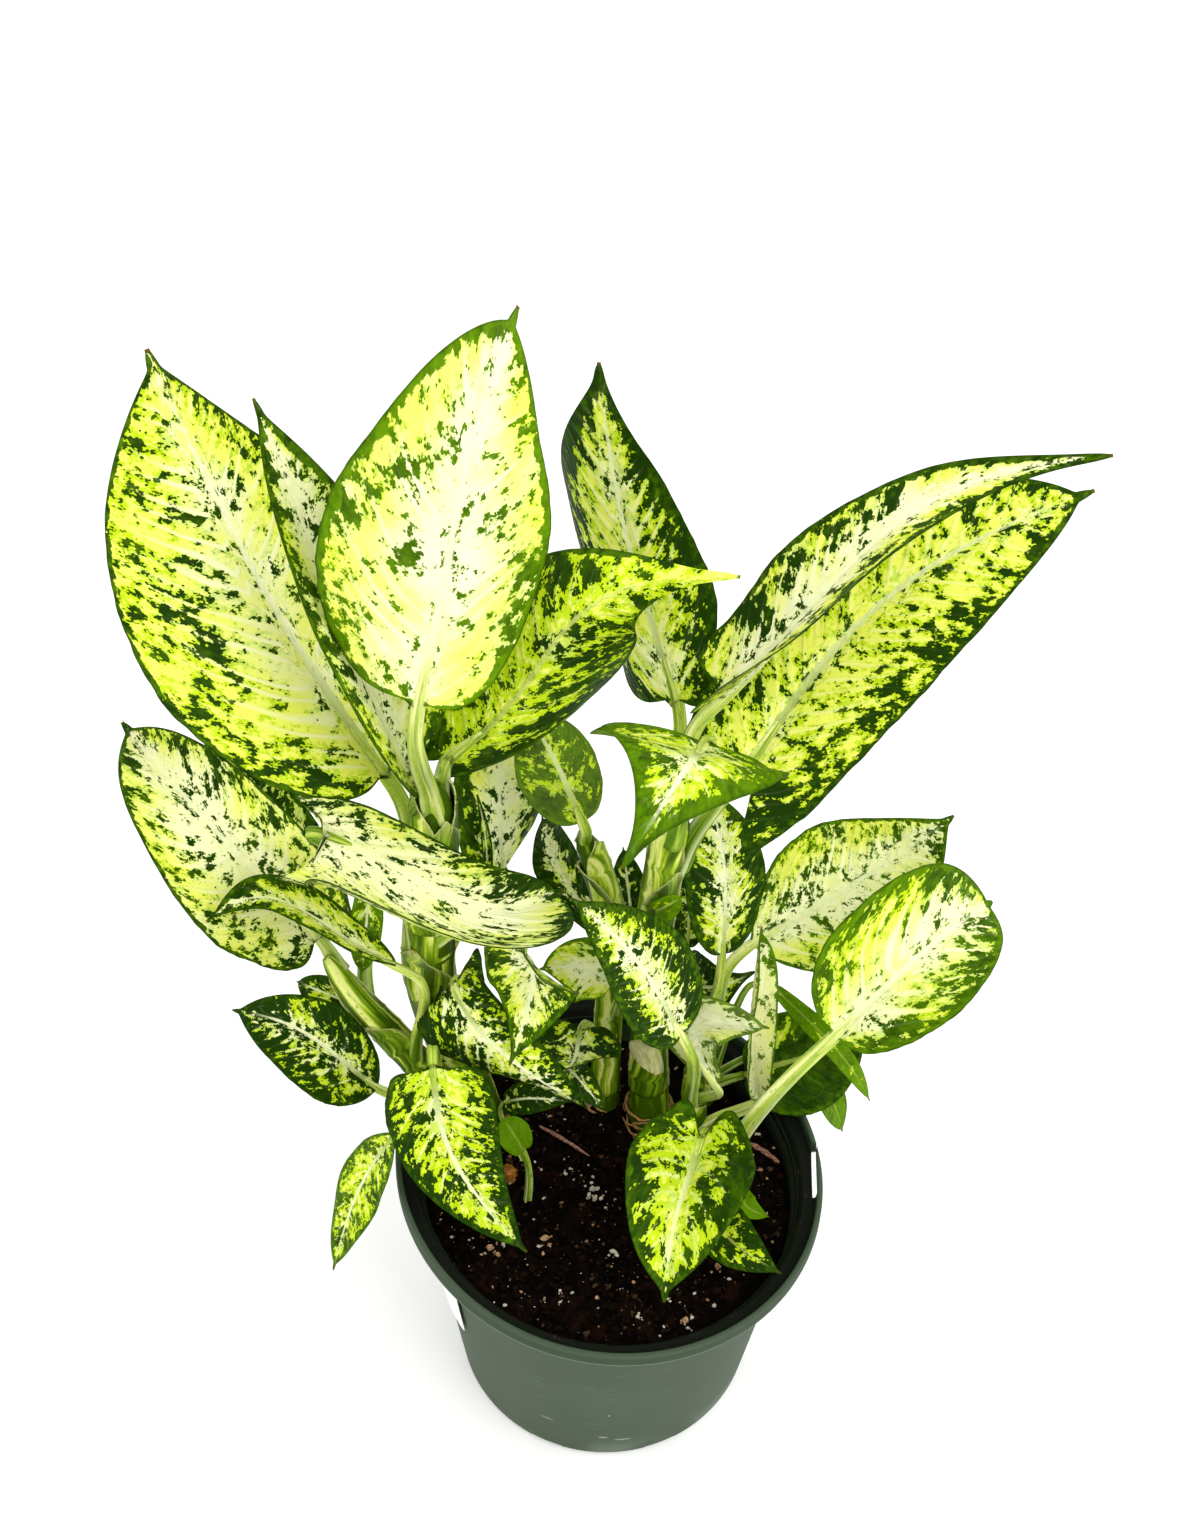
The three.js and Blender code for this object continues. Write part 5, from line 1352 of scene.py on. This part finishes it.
class DIEFFENBACHIA_OT_soil(bpy.types.Operator):
    """Fill the pot with lumpy soil, bark chips and white grit"""

    bl_idname = "dieffenbachia.soil"
    bl_label = "Fill soil"

    def execute(self, context):
        look = context.scene.dieffenbachia_soil
        draw = np.random.default_rng(SOIL_SEED)
        lumps = look.lumps / MM
        rings, sides = SOIL_GRID
        angle = np.linspace(0, 2 * math.pi, sides, endpoint=False)
        top = wall_out(SOIL_LEVEL) - WALL - GAP
        walls = (FLOOR + 2, SOIL_LEVEL - 5)
        points = []
        for z in walls:
            out = (wall_out(z) - WALL - GAP) * oval_share(z, angle)
            points += [(o * math.cos(a), o * math.sin(a), z) for o, a in zip(out, angle)]
        for share in np.linspace(1, 0.01, rings):
            out = top * share * oval_share(SOIL_LEVEL, angle)
            ring = [(o * math.cos(a), o * math.sin(a)) for o, a in zip(out, angle)]
            points += [(x, y, soil_height(x, y, lumps)) for x, y in ring]
        shape = Shape()
        shape.add(points, capped_faces(rings + len(walls), sides))
        ball = ball_faces()
        # Each kind of crumb: how many, the smallest and the largest, how flat, and its finishes.
        kinds = (
            (look.crumbs, (0.5, 2.6), 0.45, (1, 2)),
            (look.grains, (0.25, 1.2), 0.8, (3, 3, 4, 5)),
            (look.crumbs // 3, (0.3, 1.8), 0.35, (4,)),
        )
        for x, y, size, finish in STONES:
            z = soil_height(x, y, lumps) + size * 0.45
            add_crumb(shape, (x, y, z), size, 0.8, draw, finish, ball)
            for _ in range(3):
                dx, dy = draw.uniform(-1.5, 1.5, 2) * size
                z = soil_height(x + dx, y + dy, lumps) + size * 0.2
                chip = size * draw.uniform(0.3, 0.6)
                add_crumb(shape, (x + dx, y + dy, z), chip, 0.8, draw, finish, ball)
        for count, (small, large), flat, finishes in kinds:
            for _ in range(count):
                turn = draw.uniform(0, 2 * math.pi)
                out = (top - 2.5) * math.sqrt(draw.uniform(0, 1))
                x, y = out * math.cos(turn), out * math.sin(turn)
                size = small + (large - small) * draw.uniform(0, 1) ** 3
                z = soil_height(x, y, lumps) + size * draw.uniform(-0.1, 0.4)
                add_crumb(shape, (x, y, z), size, flat, draw, int(draw.choice(finishes)), ball)
        materials = [
            soil_finish("soil_peat"),
            crumb_finish("soil_crumb", look.peat, "1d140f", 500),
            crumb_finish("soil_bark", "120a06", look.bark, 400),
            crumb_finish("soil_grit", "bdb19c", look.grit, 700),
            crumb_finish("soil_husk", "2a1a10", "5a4029", 500),
            crumb_finish("soil_tan", "9a6a44", "d6b48c", 500),
        ]
        piece = shape.build("filled_soil", materials, sharp=SOIL_CREASE)
        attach(piece, BODY)
        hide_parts("soil")
        return {"FINISHED"}


class DIEFFENBACHIA_OT_litter(bpy.types.Operator):
    """Lay the twigs and the pebble on the soil"""

    bl_idname = "dieffenbachia.litter"
    bl_label = "Lay litter"

    def execute(self, context):
        for seed, (name, (axis, radii, colours, slot)) in enumerate(LITTER.items()):
            phases = np.random.default_rng(LITTER_SEED + seed).uniform(0, 6, 3)
            steps, around = LITTER_GRID
            points, ahead = smooth_curve(axis, steps)
            share = np.linspace(0, 1, steps + 1)
            wide = np.interp(share * 2, (0, 1, 2), radii) * np.sqrt(1 - 0.8 * np.abs(2 * share - 1) ** 6)

            def section(angle, along):
                knots = 0.12 * np.sin(2 * angle + 17 * along + phases[0])
                return 1 + knots + 0.08 * np.sin(3 * angle - 31 * along + phases[1])

            rings, _ = tube(points, ahead, carried_sides(ahead, (0, 0, 1)), wide, around, section)
            shape = Shape()
            add_tube(shape, rings)
            piece = shape.build(f"laid_{name}", [crumb_finish(f"{name}_bark", *colours)])
            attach(piece, BODY)
            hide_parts(name)
        return {"FINISHED"}


def label_finish(name):
    """Coated white paper with a faint grain."""
    f = Finish(name)
    place = f.place()
    fibre = f.noise(place, 1200, 2.0, 0.6)
    soiled = f.noise(place, 90, 3.0, 0.6)
    colour = f.blend(f.step(soiled, 0.5, 0.8) * 0.3, "f6f6f2", "d9d8cf")
    return f.set(
        Base_Color=colour,
        Roughness=0.45 + fibre * 0.15,
        Normal=f.bump(fibre, 0.00008, 0.5),
        Specular_IOR_Level=0.4,
    )


class DIEFFENBACHIA_OT_label(bpy.types.Operator):
    """Stick the blank label on the pot's wall"""

    bl_idname = "dieffenbachia.label"
    bl_label = "Stick label"

    def execute(self, context):
        s, t = np.meshgrid(*(np.linspace(-1, 1, count) for count in LABEL_GRID), indexing="ij")
        inner = 1 - LABEL_CORNER
        over = np.hypot(np.maximum(np.abs(s) - inner, 0), np.maximum(np.abs(t) - inner, 0))
        pull = np.where(over > LABEL_CORNER, LABEL_CORNER / np.maximum(over, 1e-6), 1)
        s, t = (
            np.where(np.abs(a) > inner, np.sign(a) * (inner + (np.abs(a) - inner) * pull), a) for a in (s, t))
        z = LABEL_LEVEL + t * LABEL_SIZE / 2
        turn = LABEL_TURN + s * LABEL_SIZE / 2 / wall_out(LABEL_LEVEL)
        out = wall_out(z) * oval_share(z, turn) + LABEL_PEEL * ramp(s, 0.75, 1) ** 2 * ramp(t, 0.6, 1) ** 2
        sides = [
            triples((out + lift) * np.cos(turn), (out + lift) * np.sin(turn), z)
            for lift in (GAP, GAP + LABEL_THICKNESS)
        ]
        shape = Shape()
        add_shell(shape, sides, (0, 0))
        piece = shape.build("stuck_label", [label_finish("label_paper")], sharp=LABEL_CREASE)
        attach(piece, BODY)
        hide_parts("blank_label")
        return {"FINISHED"}


def soft_light(name, at, towards, size, power):
    """A round area light, in metres and watts."""
    lamp = bpy.data.lights.new(name, "AREA")
    lamp.shape = "DISK"
    lamp.size = size
    lamp.energy = power
    made = bpy.data.objects.new(name, lamp)
    made.location = at
    made.rotation_euler = (Vector(towards) - Vector(at)).to_track_quat("-Z", "Y").to_euler()
    bpy.context.scene.collection.objects.link(made)


class DIEFFENBACHIA_OT_stage(bpy.types.Operator):
    """Set the pale floor, the soft light and the camera"""

    bl_idname = "dieffenbachia.stage"
    bl_label = "Set stage"

    def execute(self, context):
        look = context.scene.dieffenbachia_stage
        scene = context.scene
        f = Finish("floor_paper")
        cloud = f.noise(f.place(), 1.5, 3.0, 0.5)
        pale = tuple(look.floor)
        colour = f.blend(f.step(cloud, 0.3, 0.7), pale, tuple(0.985 * c for c in pale))
        f.set(
            Base_Color=colour,
            Roughness=0.7,
            Specular_IOR_Level=0.2,
            Emission_Color=colour,
            Emission_Strength=0.3,
        )
        shape = Shape()
        corners = ((-1, -1), (1, -1), (1, 1), (-1, 1))
        shape.add([(x * FLOOR_REACH, y * FLOOR_REACH, 0) for x, y in corners], [[0, 1, 2, 3]])
        floor = shape.build("floor", [f.material])

        world = bpy.data.worlds.new("studio")
        world.use_nodes = True
        background = world.node_tree.nodes["Background"].inputs
        background["Color"].default_value = (1, 1, 1, 1)
        background["Strength"].default_value = look.sky
        scene.world = world
        soft_light("key_light", (0.7, -0.7, 1.5), LIT_POINT, 1.1, look.key)
        soft_light("fill_light", (-1.0, -0.6, 1.1), LIT_POINT, 1.2, look.fill)
        scene.view_settings.view_transform = "Standard"

        right = Vector((math.cos(ROLL), math.sin(ROLL) * math.sin(PITCH), math.sin(ROLL) * math.cos(PITCH)))
        up = Vector((-math.sin(ROLL), math.cos(ROLL) * math.sin(PITCH), math.cos(ROLL) * math.cos(PITCH)))
        ahead = Vector((0, math.cos(PITCH), -math.sin(PITCH)))
        eye = bpy.data.cameras.new("eye")
        eye.sensor_width = SENSOR
        eye.lens = FOCAL * SENSOR / PICTURE_HEIGHT
        camera = bpy.data.objects.new("eye", eye)
        turn = Matrix((right, up, -ahead)).transposed()
        camera.matrix_world = Matrix.Translation(Vector(EYE) * MM) @ turn.to_4x4()
        scene.collection.objects.link(camera)
        scene.camera = camera
        return {"FINISHED"}


class DIEFFENBACHIA_PT_panel(bpy.types.Panel):
    """The steps that make the plant, in their order"""

    bl_idname = "DIEFFENBACHIA_PT_panel"
    bl_label = "Dieffenbachia"
    bl_space_type = "VIEW_3D"
    bl_region_type = "UI"
    bl_category = "Dieffenbachia"

    def draw(self, context):
        for name, step, settings in STEPS:
            self.layout.operator(step.bl_idname)
            if settings is not None:
                group = getattr(context.scene, name)
                for key in settings.__annotations__:
                    self.layout.prop(group, key)


STEPS = (
    ("dieffenbachia_stage", DIEFFENBACHIA_OT_stage, StageSettings),
    ("dieffenbachia_pot", DIEFFENBACHIA_OT_pot, PotSettings),
    ("dieffenbachia_soil", DIEFFENBACHIA_OT_soil, SoilSettings),
    ("dieffenbachia_litter", DIEFFENBACHIA_OT_litter, None),
    ("dieffenbachia_label", DIEFFENBACHIA_OT_label, None),
    ("dieffenbachia_canes", DIEFFENBACHIA_OT_canes, CaneSettings),
    ("dieffenbachia_leaves", DIEFFENBACHIA_OT_leaves, LeafSettings),
)


def register():
    for name, step, settings in STEPS:
        if settings is not None:
            bpy.utils.register_class(settings)
            setattr(bpy.types.Scene, name, bpy.props.PointerProperty(type=settings))
        bpy.utils.register_class(step)
    bpy.utils.register_class(DIEFFENBACHIA_PT_panel)


def unregister():
    bpy.utils.unregister_class(DIEFFENBACHIA_PT_panel)
    for name, step, settings in reversed(STEPS):
        bpy.utils.unregister_class(step)
        if settings is not None:
            delattr(bpy.types.Scene, name)
            bpy.utils.unregister_class(settings)


def main():
    register()
    bpy.ops.dieffenbachia.stage()
    bpy.ops.dieffenbachia.pot()
    bpy.ops.dieffenbachia.soil()
    bpy.ops.dieffenbachia.litter()
    bpy.ops.dieffenbachia.label()
    bpy.ops.dieffenbachia.canes()
    bpy.ops.dieffenbachia.leaves()


if __name__ == "__main__":
    main()
